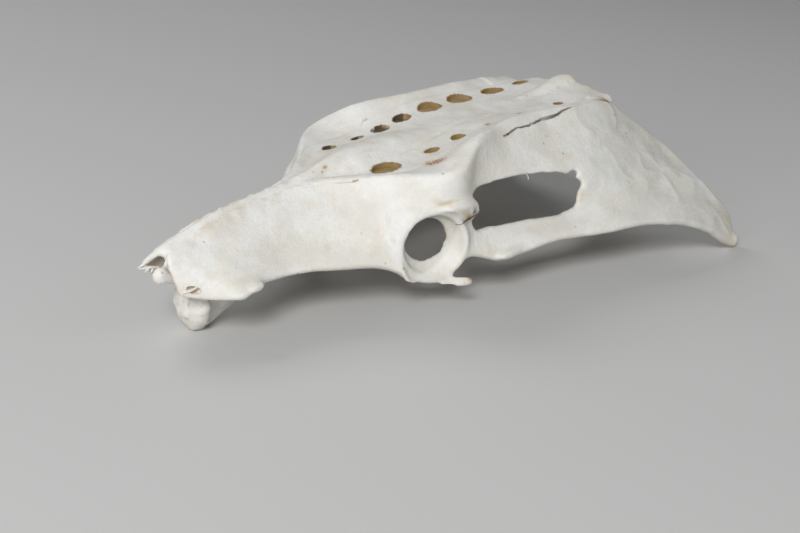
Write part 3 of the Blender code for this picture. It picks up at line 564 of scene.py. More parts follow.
def build_hip(side, voxel, thickness):
    """One hip bone: sheet less foramen, plus cup, knob over the socket, stub and heel, less bowl."""
    u, v = np.meshgrid(np.linspace(0, 1, 260), np.linspace(0, 1, 110), indexing="ij")
    outer, inner = hip_surface(u, v), hip_inner(u, v, thickness)
    outer[..., 2] -= 0.22 * (1 - ease(v / 0.10))
    piece = new_piece("hip", [flipped(sheet_skin(outer, inner), side)])
    fuse(piece, voxel * 1.1)
    for outline in (foramen_outline(), TOOTH, NOTCH):
        carve(piece, [flipped(bar_skin(outline, 9.0, 30.0, 1), side)])
    added = [socket_skin(CUP_PROFILE), lump_skin(*RIDGE), lump_skin(*RIDGE_CORNER), lump_skin(*BAR_SWELLING),
             lump_skin(*WING_CORNER), path_skin(STUB), lump_skin(*TAIL_TIP)]
    piece = join(piece, [flipped(skin, side) for skin in added], voxel)
    points, edges = mesh_arrays(piece.data)
    put_points(piece.data, relax(points, edges, 5))
    carve(piece, [flipped(socket_skin(BOWL_PROFILE), side)])
    fuse(piece, voxel)
    points, edges = mesh_arrays(piece.data)
    put_points(piece.data, relax(points, edges, 3))
    carve(piece, [flipped(lump_skin(*WING_PIT), side), flipped(lump_skin(*STUB_BREAK), side)])
    carve(piece, [flipped(bar_skin(slot_outline(CREVICE, 0.35), 15.0, 20.0, 1), side)])
    if side == LEFT:
        carve(piece, [flipped(bar_skin(slot_outline(SUTURE_CRACK, 0.2), 17.0, 26.0, 2), side)])
        for fibre in (path_skin(HAIR, 8), path_skin(SPLINTER), path_skin(PIT_FIBRE, 8)):
            weld(piece, flipped(fibre, side))
    else:
        carve(piece, [bar_skin(slot_outline(stops, widest), 15.0, 26.0, 2) for stops, widest in FAR_SLITS])
    weather_hip(piece.data, side)
    return piece


def stain_share(station, y, height):
    """The small red-brown stain by the suture on the animal's left, one where it is deepest."""
    along, across = station - STAIN[0], -y - STAIN[1]
    streak = (along / 1.3) ** 2 + ((across - 0.3 * along) / 1.25) ** 2
    return np.exp(-streak) * (height > 16.5)


def weather_hip(mesh, side):
    """Relief and colour masks of a hip bone, from each point's station, out and height."""
    points, edges = mesh_arrays(mesh)
    normals = normals_of(mesh)
    station, out, height = points[:, 0], np.abs(points[:, 1]), points[:, 2]
    seed = 10 + side
    lateral = np.clip(normals[:, 1] * side, 0, 1)
    top = np.clip(normals[:, 2], 0, 1)
    facing = np.clip(1.3 * (lateral + top), 0, 1)

    groove = ease(1 - near_line(station, height, CREST_GROOVE) / 2.2) * (station < 14) * facing
    gap = near_line(station, out, SUTURE_CRACK)
    cracked = (height > 17) * (side == LEFT)
    # Painted shade: the walls inside the open suture crack are darkened
    crack_shade = bell(gap, 0.2) * (normals[:, 2] < 0.45) * cracked
    crack = fade(gap, 0.5) * cracked
    centre = (SOCKET + 0.9 * SOCKET_LEAN) * [1, side, 1]
    offset = points - centre
    axis = SOCKET_LEAN * [1, side, 1]
    depth = offset @ axis / (axis @ axis)
    spread = np.linalg.norm(offset - depth[:, None] * axis, axis=1)
    bowl = ease((4.3 - spread) / 0.5) * ease((depth + 1.6) / 0.5) * ease((1.2 - depth) / 0.5)
    lip = bell(spread - 5.6, 0.5) * lateral * (depth > -1.5)
    facet = bell(((station - 29.9) / 2.6) ** 2 + ((height - 12.7) / 0.9) ** 2, 1) * lateral
    knob = around(points, (32.7, side * 15.8, 12.4), (1.6, 1.4, 0.9))
    crevice = bell(near_line(station, height, CREVICE_MARK), 0.4) * lateral * (spread > 4.6)
    brow = bell(near_line(station, height, BROW), 0.28) * lateral
    tail = np.interp(height, [1.6, 8.6, 14.2, 20.9], [78.4, 78.0, 75.5, 67.0])
    blade = ease((station - 50) / 12)

    relief = -0.12 * groove * lattice_noise(points, 0.9, seed + 4)
    relief += (0.11 + 0.13 * blade) * lattice_noise(points, 5.2, seed) * facing
    relief += (0.06 + 0.09 * blade) * lattice_noise(points, 2.3, seed + 1) * facing
    relief += 0.03 * lattice_noise(points * [0.4, 1, 1], 0.8, seed + 3) * facing * (1 - bowl) * (1 - facet)
    relief += 0.16 * blade * (1 - np.abs(lattice_noise(points, 4.2, seed + 5))) ** 4 * facing
    relief += 0.26 * knob * lattice_noise(points, 0.6, seed + 2) - 0.14 * facet
    points = roughen(mesh, points, normals, relief)

    patchy = np.clip(0.6 + 0.9 * lattice_noise(points, 2.6, seed + 6), 0, 1)
    low_edge = fade(height - line(BORDER_HEIGHT, station), 0.5)
    tail_edge = fade(tail - station, 1.2)
    head_edge = fade(station + 3.5, 0.8)
    x = (station - FORAMEN[0]) / FORAMEN_HALF[0]
    z = (height - FORAMEN[1]) / FORAMEN_HALF[1]
    ring = (np.abs(x) ** FORAMEN_POWER + np.abs(z) ** FORAMEN_POWER) ** (1 / FORAMEN_POWER)
    rim = fade(ring - 1.02, 0.08) * lateral * (0.25 + 0.75 * ease((station - 46) / 5))
    strip = bell(height - 8.9, 0.7) * ease((station - 33) / 4) * ease((52 - station) / 6) * lateral
    suture = fade(out - line(SUTURE, station), 0.7) * (height > line(FORAMEN_ROW, station) - 1.5)
    splinter = ease((station - 63.5) / 2.0) * (out < 9.9) * (side == LEFT)
    stub = around(points, (31.4, side * 17.2, 4.0), 1.2)
    pit = around(points, (-1.7, side * 3.6, 7.1), (1.5, 1.3, 0.8))
    tip = around(points, (78.5, side * 26.6, 2.0), 5.0)
    warm = (0.25 * low_edge + 0.3 * tail_edge + 0.2 * head_edge + 0.6 * rim + 0.5 * lip + 0.35 * strip
            + 0.28 * groove + 0.35 * suture + 0.5 * knob + 0.35 * crack + 0.5 * brow + 0.6 * crevice) * patchy
    warm = np.clip(warm + 0.8 * splinter + 0.6 * stub + 0.55 * pit + 0.3 * tip + 0.2 * bowl, 0, 1)
    rough = lattice_noise(points, 0.55, 5)
    # Shade mask: real dirt on the knob, the stub and along the crevice, plus painted shade in the open crack
    shade = np.clip(0.75 * knob * ease((rough + 0.25) / 0.5) + 0.5 * stub * (rough > 0.3)
                    + 0.5 * crevice * ease((rough + 0.5) / 0.6) + 0.95 * crack_shade, 0, 1)
    # Grey: painted shade on the rear blade's outer faces and on the facet that faces down and out, and a
    # greyer tone in the socket bowl
    grey_and_shade = np.clip(0.8 * lateral * blade + 0.7 * bowl + 0.8 * facet, 0, 1)
    paint(mesh, "warm", warm)
    # Painted shade: faces turned away from the side and the top are browned
    paint(mesh, "inside", 0.35 * (1 - facing) * patchy)
    paint(mesh, "stain", stain_share(station, points[:, 1], height))
    paint(mesh, "shade", shade)
    paint(mesh, "grey_and_shade", grey_and_shade)
    fan = np.arctan2(height - 4.0, station - 30.0)
    fibre = np.stack([np.hypot(station - 30, height - 4) * 0.12, fan * 22.0, out], 1)
    paint(mesh, "fibre", fibre)


# Back vertebrae


def column_skin():
    """Fused centra, arches and crest: rings of keel, centrum, arch and crest at each station."""
    station = np.concatenate([[-1.5, -0.8, -0.2], np.linspace(1.3, 69.6, 260)])
    station = np.sort(np.concatenate([station, [0.2, 0.6, 0.9]]))
    low = np.maximum(line(KEEL, station), 0)
    tall = line(CENTRUM_HEIGHT, station)
    wide = line(CENTRUM_HALF_WIDTH, station) * line(BEAD, station)
    keel = line(KEEL_HALF_WIDTH, station)
    top = line(MIDLINE, station) - 0.45 * ease((station - 14) / 2)
    floor = low + tall
    shoulder = np.where(station < 14, 0.9, 0.6)
    half = [(keel, low), (0.78 * wide, low + 0.28 * tall), (wide, low + 0.6 * tall), (0.86 * wide, floor),
            (0.75 * wide, floor + 0.35 * (top - floor)), (0.5 * wide, floor + 0.7 * (top - floor)),
            (shoulder, top - 0.75), (np.full_like(low, 0.4), top)]
    arch = np.zeros((len(station), len(half)), bool)
    arch[:, 3:6] = (station < 24)[:, None]
    outs = np.stack([pair[0] for pair in half], 1)
    heights = np.stack([pair[1] for pair in half], 1)
    outs = np.where(arch, np.minimum(outs, np.maximum(wing_room(station, heights), 0.45)), outs)
    stations = np.broadcast_to(station[:, None], outs.shape)
    left, right = (np.stack([stations, side * outs, heights], -1) for side in (LEFT, RIGHT))
    return tube_skin(np.concatenate([left, right[:, ::-1]], 1))


def wing_room(station, heights):
    """Half width that the column may have between the wings: the wall's out, less its thickness.

    From the crest down, each stretch of wall adds its own change of out as far as the height reaches.
    """
    rails = [smooth(rail, station)[:, None] for rail in (CREST, UPPER_WALL, LOWER_WALL, BORDER)]
    room = rails[0][..., 0] - 0.9
    for upper, lower in zip(rails[:-1], rails[1:]):
        share = np.clip((upper[..., 1] - heights) / (upper[..., 1] - lower[..., 1]), 0, 1)
        room = room + share * (lower[..., 0] - upper[..., 0])
    return room


def roof_skin():
    """The plate over the column, a little sunk where the hip bones lap over its edges."""
    station, share = np.meshgrid(np.linspace(11.5, 70.8, 200), np.linspace(-1, 1, 61), indexing="ij")
    reach = line(SUTURE, station) + 1.1
    ragged = 0.5 * np.abs(np.sin(9 * share + 1)) + 0.35 * np.sin(23 * share) + 0.8 * share**2
    side = share * reach
    height = plate_height(np.minimum(station, 68.0), np.abs(side))
    height = height - 0.3 * ease((np.abs(side) - reach + 1.7) / 1.7) - 0.5 * (1 - ease((station - 11.5) / 5))
    top = np.stack([station - ragged * ease((station - 64) / 6.8), side, height], -1)
    return sheet_skin(top, top - np.array([0.0, 0.0, 0.9]))


def blade_skins():
    """Upright blades from the column to the wings: the vertebrae's side processes."""
    skins = []
    for joint in JOINTS[1:-1]:
        low, tall = line(KEEL, joint), line(CENTRUM_HEIGHT, joint)
        for side in (LEFT, RIGHT):
            if joint < 22:
                u = np.interp(joint, [4.0, 58.0], [0.11, 0.80])
                rows = np.linspace(0.22, 0.70, 12)
                edge = hip_inner(np.full_like(rows, u), rows, 0.6)
                outline = [(side * y, z) for y, z in edge[:, 1:]]
                outline += [(side * 1.0, low + 0.45 * tall), (0.0, low + 0.7 * tall), (0.0, edge[0, 2] - 0.4)]
            else:
                reach = line(SUTURE, joint) - 0.4
                roof = float(plate_height(np.array(min(joint, 67.9)), np.array(reach))) - 0.8
                outline = [(side * 0.2, low + 0.35 * tall),
                           (side * reach * 0.45, low + 0.62 * tall + 0.25 * (roof - low)),
                           (side * (reach - 1.4), roof - 1.2), (side * reach, roof - 0.4),
                           (side * reach, roof), (side * 0.2, roof)]
            skins.append(bar_skin(outline, joint - 0.42, joint + 0.42, 0))
    return skins


def strut_skins():
    """Two stout processes a side that brace the sockets, waisted in the middle."""
    skins = []
    for joint in (24.0, 29.2):
        root = line(KEEL, joint) + 0.5 * line(CENTRUM_HEIGHT, joint)
        wall = SOCKET[1] + (joint - SOCKET[0]) * math.tan(SOCKET_TURN) - 1.7
        for side in (LEFT, RIGHT):
            skins.append(path_skin([(joint, side * 1.0, root, 1.3, 1.4),
                                    (joint, side * 0.5 * wall, root + 0.45 * (13.4 - root), 0.85, 0.85),
                                    (joint, side * wall, 13.4, 1.35, 1.2)]))
    return skins


def arch_skins():
    """The open front of the neural arch: a thin crest rod over two walls, the left one broken back."""
    skins = [path_skin(ARCH_ROD)]
    for side, front in ((RIGHT, -5.3), (LEFT, -3.95)):
        share, drop = np.meshgrid(np.linspace(0, 1, 24), np.linspace(0, 1, 18), indexing="ij")
        ragged = 0.3 * np.sin(9 * drop + side) + 1.2 * (drop - 0.5) ** 2 * (side == RIGHT)
        station = front + ragged + (1.5 - front - ragged) * share
        high = line([(-6.7, 9.8), (-4.3, 11.0), (-0.8, 12.3), (2, 13.0)], station)
        height = high + (8.2 - high) * drop
        across = 0.25 + 1.15 * np.sin(np.pi * (0.12 + 0.6 * drop)) * (0.75 + 0.25 * share)
        face = np.stack([station, side * across, height], -1)
        skins.append(sheet_skin(face, face - np.array([0.0, side * 0.5, 0.0])))
        skins.append(flipped(path_skin(ARCH_SHOULDER), side))
    skins.append(lump_skin((-4.75, -1.5, 8.75), (1.05, 0.85, 1.15), 15))
    skins.append(lump_skin((-3.5, 1.5, 7.7), (0.9, 0.8, 0.8)))
    skins.append(lump_skin((-1.3, 0.0, 10.7), (1.5, 1.5, 1.2)))
    skins.append(flipped(path_skin(ARCH_FOOT), LEFT))
    skins.append(path_skin(ARCH_FOOT[1:]))
    return skins


def shelf_skins():
    """Upper faces of the side processes, seen as tan floors a little under the larger holes; their tan is
    painted shade.
    """
    skins = []
    for side, row in ((RIGHT, RIGHT_ROW[4:]), (LEFT, LEFT_ROW)):
        for station, length, width in row:
            height = float(plate_height(np.array(station), np.array(FORAMEN_ROW_OUT)))
            skins.append(lump_skin((station, side * FORAMEN_ROW_OUT, height - 2.0),
                                   (length / 2 + 1.2, width / 2 + 1.4, 0.6)))
    return skins


def build_back(voxel):
    """The synsacrum: column, roof, blades, struts and open arch, fused, less its holes."""
    skins = [column_skin(), roof_skin()] + blade_skins() + strut_skins() + arch_skins() + shelf_skins()
    skins.append(path_skin(TAIL_RISE))
    piece = new_piece("back", skins)
    fuse(piece, voxel)
    points, edges = mesh_arrays(piece.data)
    put_points(piece.data, relax(points, edges, 4))
    punches = [path_skin(CANAL)]
    turn = np.linspace(0, 2 * np.pi, 40, endpoint=False)
    for side, row in ((RIGHT, RIGHT_ROW), (LEFT, LEFT_ROW)):
        for station, length, width in row:
            skew = 1 + 0.05 * np.sin(2 * turn + station) + 0.03 * np.sin(3 * turn + 2 * station)
            outline = np.stack([station + length / 2 * np.cos(turn) * skew,
                                side * FORAMEN_ROW_OUT + width / 2 * np.sin(turn) * skew], 1)
            height = float(plate_height(np.array(station), np.array(FORAMEN_ROW_OUT)))
            punches.append(bar_skin(outline, height - 1.3, height + 3, 2))
            more, deep = (2.0, 1.0) if side == RIGHT and station < SEE_THROUGH else (1.0, 0.65)
            punches.append(lump_skin((station, side * FORAMEN_ROW_OUT, height - 0.32 - deep),
                                     (length / 2 + more, width / 2 + 0.9 * more, deep)))
    carve(piece, punches)
    for fibre in TIP_FIBRES:
        weld(piece, path_skin(fibre, 8))
    weather_back(piece.data)
    return piece


def weather_back(mesh):
    """Relief and colour masks of the fused vertebrae."""
    points, edges = mesh_arrays(mesh)
    normals = normals_of(mesh)
    station, out, height = points[:, 0], np.abs(points[:, 1]), points[:, 2]
    roof = plate_height(np.clip(station, -6, 68), out)
    above = np.clip(1.4 * normals[:, 2], 0, 1) * (height > roof - 0.8)
    bead = ease((3.0 - station) / 2.0) * ease((6.5 - height) / 1.5)
    relief = 0.09 * lattice_noise(points, 4.0, 21) + 0.05 * lattice_noise(points, 1.5, 22)
    relief += 0.12 * bead * lattice_noise(points, 0.9, 23)
    slits = np.zeros(len(points))
    for x, y, length in SLITS:
        slits += bell(np.hypot((station - x) / length, (points[:, 1] - y - 0.1 * (station - x)) / 0.3), 1)
    relief -= 0.2 * slits * above
    points = roughen(mesh, points, normals, relief)

    holes, walls, see_through_shade = np.zeros(len(points)), np.zeros(len(points)), np.zeros(len(points))
    for side, row in ((RIGHT, RIGHT_ROW), (LEFT, LEFT_ROW)):
        across = points[:, 1] - side * FORAMEN_ROW_OUT
        for x, length, width in row:
            ring = np.hypot((station - x) / (length / 2), across / (width / 2))
            beyond = (ring - 1) * width / 2
            # Painted shade: the hole walls and the pocket under each hole are browned
            inner = (ring < 1.1) * (height < roof + 0.3)
            pocket = (beyond < 2.4) * ease((roof - 0.4 - height) / 0.2) * (height > roof - 3)
            holes = np.maximum(holes, fade(beyond, 0.3))
            walls = np.maximum(walls, np.maximum(inner, pocket))
            # Painted shade: the front part of these holes' walls is darkened where they open into dark
            if side == RIGHT and x < SEE_THROUGH:
                see_through_shade = np.maximum(see_through_shade, inner * (station < x + 0.36 * length))
    crest = bell(out, 0.9) * (station < 20) + 0.4 * bell(out, 1.6) * (station >= 20)
    # Painted shade: brown under the roof, fuller from the centrum's top upwards
    deep = 1 - ease((height - roof + 1.3) / 0.9)
    inward = np.clip(-1.5 * normals[:, 1] * np.sign(points[:, 1]) - 0.2, 0, 1)
    floor = np.maximum(line(KEEL, station), 0) + line(CENTRUM_HEIGHT, station)
    recess = 0.3 + 0.7 * ease((height - floor + 1.2) / 1.5)
    hollow_shade_share = deep * recess * ease((station - 6) / 12)
    # Painted shade on the inner faces of the open arch
    hollow_shade_share += 0.35 * inward * (station > -5.6) * (station < 2) * (height < roof - 0.9)
    # Painted shade in the hollow between the first centrum and the wing
    waist = ease((station - 0.9) / 0.8) * ease((7 - station) / 4)
    hollow_shade_share += 0.9 * waist * ease((height - 3.6) / 1.2) * (height < 8)
    tail = ease((station - 62) / 8)
    halo, marks = np.zeros(len(points)), np.zeros(len(points))
    for x, y, size in SPOTS:
        spot = np.hypot(station - x, 1.3 * (points[:, 1] - y)) / size
        marks += bell(spot, 1)
        halo += bell(spot, 2.6)
    smear = bell(np.hypot((station - 18.6) / 1.6, (points[:, 1] + 1.6) / 0.6), 1)
    patchy = np.clip(0.6 + 0.9 * lattice_noise(points, 2.6, 26), 0, 1)
    warm = (0.45 * holes + 0.25 * crest + 0.4 * tail + 0.55 * slits) * above * patchy
    warm += 0.5 * halo * above + 0.4 * smear * above + 0.12 * bead * patchy
    rough = lattice_noise(points, 0.45, 25)
    paint(mesh, "warm", np.clip(warm, 0, 1))
    # The brown is painted shade, warmed to stand in for light through the thin bone
    paint(mesh, "inside", np.clip(np.maximum(hollow_shade_share, walls), 0, 1))
    paint(mesh, "stain", stain_share(station, points[:, 1], height))
    # Shade mask: real spots and pits on the first centrum, plus painted shade in the see-through holes
    shade = 0.9 * marks * above + 0.35 * bead * ease((rough - 0.45) / 0.3) + 0.9 * see_through_shade
    paint(mesh, "shade", np.clip(shade, 0, 1))
    paint(mesh, "grey_and_shade", np.zeros(len(points)))
    paint(mesh, "fibre", np.stack([station * 0.25, points[:, 1], height], 1))


# Materials


class Field:
    """A shader value that can be written in sums; each operation adds a Math node."""

    def __init__(self, recipe, socket):
        self.recipe, self.socket = recipe, socket

    def math(self, operation, first, second):
        """The field that the operation makes of two fields or numbers."""
        return self.recipe.node("ShaderNodeMath", {"operation": operation}, {0: first, 1: second})

    def __add__(self, other):
        return self.math("ADD", self, other)

    def __radd__(self, other):
        return self.math("ADD", other, self)

    def __sub__(self, other):
        return self.math("SUBTRACT", self, other)

    def __rsub__(self, other):
        return self.math("SUBTRACT", other, self)

    def __mul__(self, other):
        return self.math("MULTIPLY", self, other)

    def __rmul__(self, other):
        return self.math("MULTIPLY", other, self)

    def __abs__(self):
        return self.math("ABSOLUTE", self, 0.0)

    def ramp(self, low, high):
        """Zero below low, one above high, smooth between."""
        return self.recipe.node("ShaderNodeMapRange", {"interpolation_type": "SMOOTHSTEP"},
                                {"Value": self, "From Min": low, "From Max": high})


class Recipe:
    """A material under construction."""

    def __init__(self, name):
        self.material = bpy.data.materials.new(name)
        self.material.use_nodes = True
        self.tree = self.material.node_tree
        self.shader = self.tree.nodes["Principled BSDF"]

    def node(self, kind, settings=None, inputs=None, output=0):
        """Any node: its settings first, then values or links of its sockets; gives one output."""
        made = self.tree.nodes.new(kind)
        for key, value in (settings or {}).items():
            setattr(made, key, value)
        for key, value in (inputs or {}).items():
            self.feed(made.inputs[key], value)
        return Field(self, made.outputs[output])

    def feed(self, socket, value):
        """Links a field to a socket, or sets a plain value on it."""
        if isinstance(value, Field):
            self.tree.links.new(value.socket, socket)
        else:
            socket.default_value = value

    def mask(self, name, output="Fac"):
        """The piece's own painted numbers."""
        return self.node("ShaderNodeAttribute", {"attribute_name": name}, output=output)

    def noise(self, place, scale, detail=2.0, rough=0.5):
        """Cloudy noise from 0 to 1, with scale in waves to a metre."""
        inputs = {"Vector": place, "Scale": scale, "Detail": detail, "Roughness": rough}
        return self.node("ShaderNodeTexNoise", {}, inputs, "Fac")

    def blend(self, share, first, second):
        """First colour to second by share; 6 and 7 are the Mix node's colour sockets."""
        return self.node("ShaderNodeMix", {"data_type": "RGBA"}, {"Factor": share, 6: first, 7: second}, 2)


def bone_material(name, finish, fibre_share):
    """Dry bone: ivory with a fine pale net, warm edges, painted shade that greys the rear flank and browns
    the hollows, pits and one stain.
    """
    recipe = Recipe(name)
    place = recipe.node("ShaderNodeTexCoord", output="Object")
    fibre = recipe.mask("fibre", "Vector")
    clouds = recipe.noise(place, 150.0, 3.0)
    patches = recipe.noise(place, 330.0, 3.0, 0.6)
    mottle = recipe.noise(place, 620.0, 4.0, 0.6)
    grain = recipe.noise(place, 3600.0, 2.0)
    threads = recipe.noise(fibre, 3.2, 3.0, 0.6)
    net = 1 - abs(recipe.noise(place, 950.0, 2.0) - 0.5).ramp(0.0, 0.07)
    pits = recipe.node("ShaderNodeTexVoronoi", {}, {"Vector": place, "Scale": 620.0}, "Distance")
    pit = (1 - pits.ramp(0.04, 0.15)) * recipe.noise(place, 240.0).ramp(0.54, 0.66)

    warm, grey_and_shade, stain = recipe.mask("warm") * (0.5 + mottle), recipe.mask("grey_and_shade"), recipe.mask("stain")
    speckle = recipe.noise(place, 4300.0, 3.0, 0.7).ramp(0.46, 0.55)
    colour = (*finish.ivory, 1.0)
    for share, tint in (
            (clouds.ramp(0.38, 0.62), finish.pale),
            ((1 - net) * 0.08 + mottle.ramp(0.45, 0.75) * 0.10, finish.grey),
            (patches.ramp(0.48, 0.72) * (0.16 + 0.3 * grey_and_shade), finish.grey),
            ((1 - patches).ramp(0.54, 0.72) * 0.22, finish.honey),
            # Painted shade greys the rear flank and the down-turned facet; the socket bowl gets a greyer tone
            (grey_and_shade * (0.3 + 0.6 * clouds), finish.grey),
            (threads.ramp(0.52, 0.8) * 0.2 * fibre_share, finish.grey),
            (warm.ramp(0.1, 1.0), finish.honey),
            # Painted shade: brown in the hollows, under the roof and on hidden faces
            (recipe.mask("inside") * (0.75 + 0.4 * mottle), finish.painted_shade_brown),
            (pit * 0.5, finish.dirt_and_shade),
            (stain * 0.6, finish.honey),
            (stain.ramp(0.2, 0.75) * (0.12 + 0.88 * speckle), finish.rust),
            # The shade mask darkens to the dark colour: real dirt and spots, and painted shade
            (recipe.mask("shade"), finish.dirt_and_shade)):
        colour = recipe.blend(share, colour, (*tint, 1.0))

    shader = recipe.shader
    recipe.feed(shader.inputs["Base Color"], colour)
    recipe.feed(shader.inputs["Roughness"], 0.42 + 0.22 * mottle)
    height = threads * 0.4 * fibre_share + grain * 0.12 + mottle * 0.5 + patches * 1.1
    height = height + net * 0.15 - pit * 0.8
    bump = recipe.node("ShaderNodeBump", {}, {"Strength": 0.6, "Distance": 0.00016, "Height": height})
    recipe.feed(shader.inputs["Normal"], bump)
    shader.inputs["IOR"].default_value = 1.5
    shader.inputs["Subsurface Weight"].default_value = finish.glow
    shader.inputs["Subsurface Radius"].default_value = (1.0, 0.62, 0.36)
    shader.inputs["Subsurface Scale"].default_value = 0.0005
    return recipe.material


def plain_material(name, colour, roughness):
    """One even colour for the table."""
    recipe = Recipe(name)
    recipe.shader.inputs["Base Color"].default_value = (*colour, 1.0)
    recipe.shader.inputs["Roughness"].default_value = roughness
    return recipe.material


# Settings and operators


class PELVIS_PG_shape(bpy.types.PropertyGroup):
    """Sizes of the bone's sheets, in millimetres."""
    wing: bpy.props.FloatProperty(name="Wing thickness",
                                  description="Thickness of the thin wing of bone, in millimetres",
                                  default=0.85, min=0.6, max=1.5)
    lattice: bpy.props.FloatProperty(name="Lattice", default=0.26, min=0.2, max=1.0,
                                     description="Spacing of the surface's points, in millimetres")


class PELVIS_PG_finish(bpy.types.PropertyGroup):
    """Colours of the dry bone."""
    ivory: bpy.props.FloatVectorProperty(name="Ivory", description="The bone's main colour", subtype="COLOR",
                                         default=(0.74, 0.715, 0.655), min=0, max=1)
    pale: bpy.props.FloatVectorProperty(name="Pale", description="Bleached patches", subtype="COLOR",
                                        default=(0.82, 0.81, 0.775), min=0, max=1)
    # Grey: the bone's grey texture, and painted shade on the rear flank
    grey: bpy.props.FloatVectorProperty(name="Grey", description="The cooler rear flank", subtype="COLOR",
                                        default=(0.53, 0.525, 0.485), min=0, max=1)
    honey: bpy.props.FloatVectorProperty(name="Honey", description="Thin, oily edges and hollows",
                                         subtype="COLOR", default=(0.60, 0.47, 0.30), min=0, max=1)
    # Painted shade colour for hollows and hidden faces, warmed to stand in for light through the thin bone
    painted_shade_brown: bpy.props.FloatVectorProperty(name="Umber", description="The deep inside seen through the holes",
                                         subtype="COLOR", default=(0.31, 0.20, 0.065), min=0, max=1)
    # Dark colour for real pits and dirt, and for painted shade in the open suture and the dark holes
    dirt_and_shade: bpy.props.FloatVectorProperty(name="Dirt", description="Pits and the open suture", subtype="COLOR",
                                        default=(0.085, 0.06, 0.04), min=0, max=1)
    rust: bpy.props.FloatVectorProperty(name="Rust", description="The small red-brown stain", subtype="COLOR",
                                        default=(0.31, 0.065, 0.03), min=0, max=1)
    glow: bpy.props.FloatProperty(name="Glow", description="Share of the light that soaks into the bone",
                                  subtype="FACTOR", default=0.2, min=0, max=1)


class PELVIS_PG_stage(bpy.types.PropertyGroup):
    """Table and light."""
    table: bpy.props.FloatVectorProperty(name="Table", description="Colour of the table", subtype="COLOR",
                                         default=(0.60, 0.60, 0.59), min=0, max=1)
    key: bpy.props.FloatProperty(name="Key light", description="Power of the main soft light",
                                 subtype="POWER", default=2.6, min=0)
    sky: bpy.props.FloatProperty(name="Room light", description="Brightness of the room around the table",
                                 default=0.14, min=0)


class PELVIS_OT_hips(bpy.types.Operator):
    """Builds the left and the right hip bone over their ilium, ischium and pubis"""
    bl_idname = "pelvis.hips"
    bl_label = "Hip bones"

    def execute(self, context):
        shape = context.scene.pelvis_shape
        material = bone_material("hip bone", context.scene.pelvis_finish, 1.0)
        for side, word in ((LEFT, "left"), (RIGHT, "right")):
            piece = build_hip(side, shape.lattice, shape.wing)
            nodes = [f"{word}_{bone}" for bone in ("ilium", "ischium", "pubis")]
            finish_piece(piece, word + "_hip_bone", nodes, material)
        return {"FINISHED"}


class PELVIS_OT_back(bpy.types.Operator):
    """Builds the fused back vertebrae over the synsacrum"""
    bl_idname = "pelvis.back"
    bl_label = "Back vertebrae"

    def execute(self, context):
        shape = context.scene.pelvis_shape
        material = bone_material("back bone", context.scene.pelvis_finish, 0.5)
        finish_piece(build_back(shape.lattice * 1.04), "back_vertebrae", ["synsacrum"], material)
        return {"FINISHED"}


class PELVIS_OT_stage(bpy.types.Operator):
    """Lays the table, sets the soft lights and the camera"""
    bl_idname = "pelvis.stage"
    bl_label = "Table, lights and camera"

    def execute(self, context):
        look = context.scene.pelvis_stage
        table(look)
        lights(look)
        camera()
        return {"FINISHED"}


class PELVIS_PT_panel(bpy.types.Panel):
    """Lists the steps and their settings"""
    bl_idname = "PELVIS_PT_panel"
    bl_label = "Bird Pelvis"
    bl_space_type = "VIEW_3D"
    bl_region_type = "UI"
    bl_category = "Bird Pelvis"

    def draw(self, context):
        for operator in (PELVIS_OT_hips, PELVIS_OT_back, PELVIS_OT_stage):
            self.layout.operator(operator.bl_idname)
        for group in (context.scene.pelvis_shape, context.scene.pelvis_finish, context.scene.pelvis_stage):
            for key in group.__annotations__:
                self.layout.prop(group, key)


# Stage


def table(look):
    """A wide floor that rises into a backdrop: a quarter circle of radius 1 m behind the bone."""
    turn = np.linspace(0, np.pi / 2, 24)
    depth = np.concatenate([[-2.5], 1.6 + np.sin(turn), [2.6]])
    height = np.concatenate([[0.0], 1 - np.cos(turn), [3.0]])
    across = np.linspace(-4, 4, 2)
    grid = np.stack(np.broadcast_arrays(across[None, :], depth[:, None], height[:, None]), -1).reshape(-1, 3)
    turned = math.radians(-45)
    x = grid[:, 0] * math.cos(turned) - grid[:, 1] * math.sin(turned)
    y = grid[:, 0] * math.sin(turned) + grid[:, 1] * math.cos(turned)
    rows = np.arange(len(depth) - 1) * 2
    faces = np.stack([rows, rows + 1, rows + 3, rows + 2], 1)
    mesh = bpy.data.meshes.new("floor")
    mesh.from_pydata(np.stack([x, y, grid[:, 2]], 1).tolist(), [], faces.tolist())
    mesh.materials.append(plain_material("pale table", look.table, 0.6))
    mesh.shade_smooth()
    floor = bpy.data.objects.new("floor", mesh)
    bpy.context.scene.collection.objects.link(floor)


def place(thing, spot, right, up, back):
    """Puts a light or the camera at a spot, with its own three directions."""
    bpy.context.scene.collection.objects.link(thing)
    axes = np.stack([right, up, back], 1)
    thing.matrix_world = Matrix([[*axes[i], spot[i]] for i in range(3)] + [[0, 0, 0, 1]])


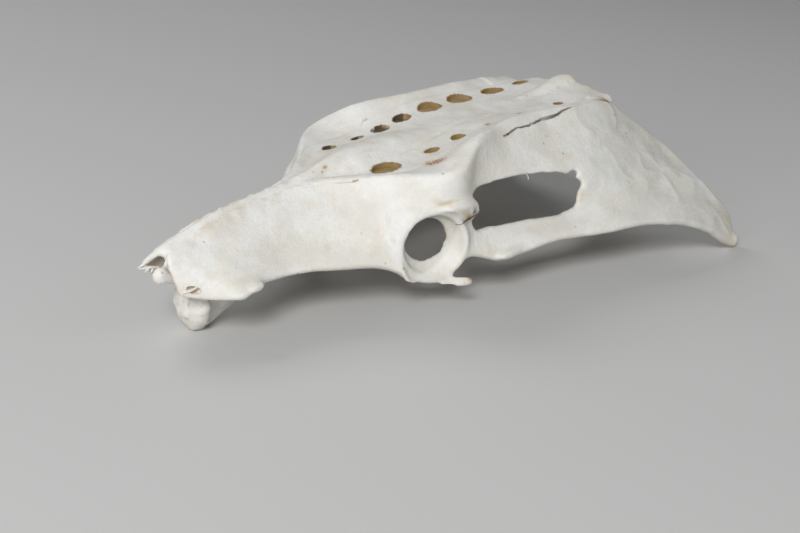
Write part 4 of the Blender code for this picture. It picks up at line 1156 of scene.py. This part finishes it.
def lights(look):
    """Soft boxes: a large one from the upper left front, a weaker fill and a rim from behind."""
    for name, power, size, spot, aim in (
            ("key", look.key, 0.24, (-0.40, -0.30, 0.40), (0.0, 0.0, 0.01)),
            ("fill", look.key * 0.16, 0.5, (0.40, -0.50, 0.28), (0.01, 0.0, 0.01)),
            ("front", look.key * 0.16, 0.2, (-0.42, -0.16, 0.12), (-0.03, 0.0, 0.005)),
            ("rim", look.key * 0.44, 0.35, (0.0, 0.50, 0.50), (0.0, 0.0, 0.01))):
        lamp = bpy.data.lights.new(name, "AREA")
        lamp.shape = "DISK"
        lamp.size = size
        lamp.energy = power
        back = np.array(spot) - np.array(aim)
        back /= np.linalg.norm(back)
        right = np.cross([0, 0, 1], back)
        right /= np.linalg.norm(right)
        place(bpy.data.objects.new(name, lamp), spot, right, np.cross(back, right), back)
    world = bpy.data.worlds.new("room")
    world.use_nodes = True
    world.node_tree.nodes["Background"].inputs["Color"].default_value = (0.93, 0.96, 1.0, 1.0)
    world.node_tree.nodes["Background"].inputs["Strength"].default_value = look.sky
    bpy.context.scene.world = world
    bpy.context.scene.view_settings.view_transform = "Standard"
    bpy.context.scene.view_settings.look = "None"


def camera():
    """The photograph's viewing angle: place, direction and roll of the lens."""
    yaw, pitch, roll = np.radians(CAMERA_TURN)
    ahead = np.array([math.sin(yaw) * math.cos(pitch), math.cos(yaw) * math.cos(pitch), -math.sin(pitch)])
    right = np.array([math.cos(yaw), -math.sin(yaw), 0.0])
    up = np.cross(right, ahead)
    across = right * math.cos(roll) + up * math.sin(roll)
    upright = up * math.cos(roll) - right * math.sin(roll)
    lens = bpy.data.cameras.new("camera")
    lens.sensor_width = 36.0
    lens.lens = CAMERA_LENS
    lens.clip_start = 0.005
    thing = bpy.data.objects.new("camera", lens)
    place(thing, CAMERA_SPOT, across, upright, -ahead)
    bpy.context.scene.camera = thing


CLASSES = (PELVIS_PG_shape, PELVIS_PG_finish, PELVIS_PG_stage, PELVIS_OT_hips, PELVIS_OT_back,
           PELVIS_OT_stage, PELVIS_PT_panel)


def register():
    """Adds the settings, the steps and the panel."""
    for item in CLASSES:
        bpy.utils.register_class(item)
    bpy.types.Scene.pelvis_shape = bpy.props.PointerProperty(type=PELVIS_PG_shape)
    bpy.types.Scene.pelvis_finish = bpy.props.PointerProperty(type=PELVIS_PG_finish)
    bpy.types.Scene.pelvis_stage = bpy.props.PointerProperty(type=PELVIS_PG_stage)


def unregister():
    """Takes them away again."""
    del bpy.types.Scene.pelvis_stage, bpy.types.Scene.pelvis_finish, bpy.types.Scene.pelvis_shape
    for item in reversed(CLASSES):
        bpy.utils.unregister_class(item)


def main():
    """Builds the bone and its stage."""
    register()
    bpy.ops.pelvis.hips()
    bpy.ops.pelvis.back()
    bpy.ops.pelvis.stage()


if __name__ == "__main__":
    main()
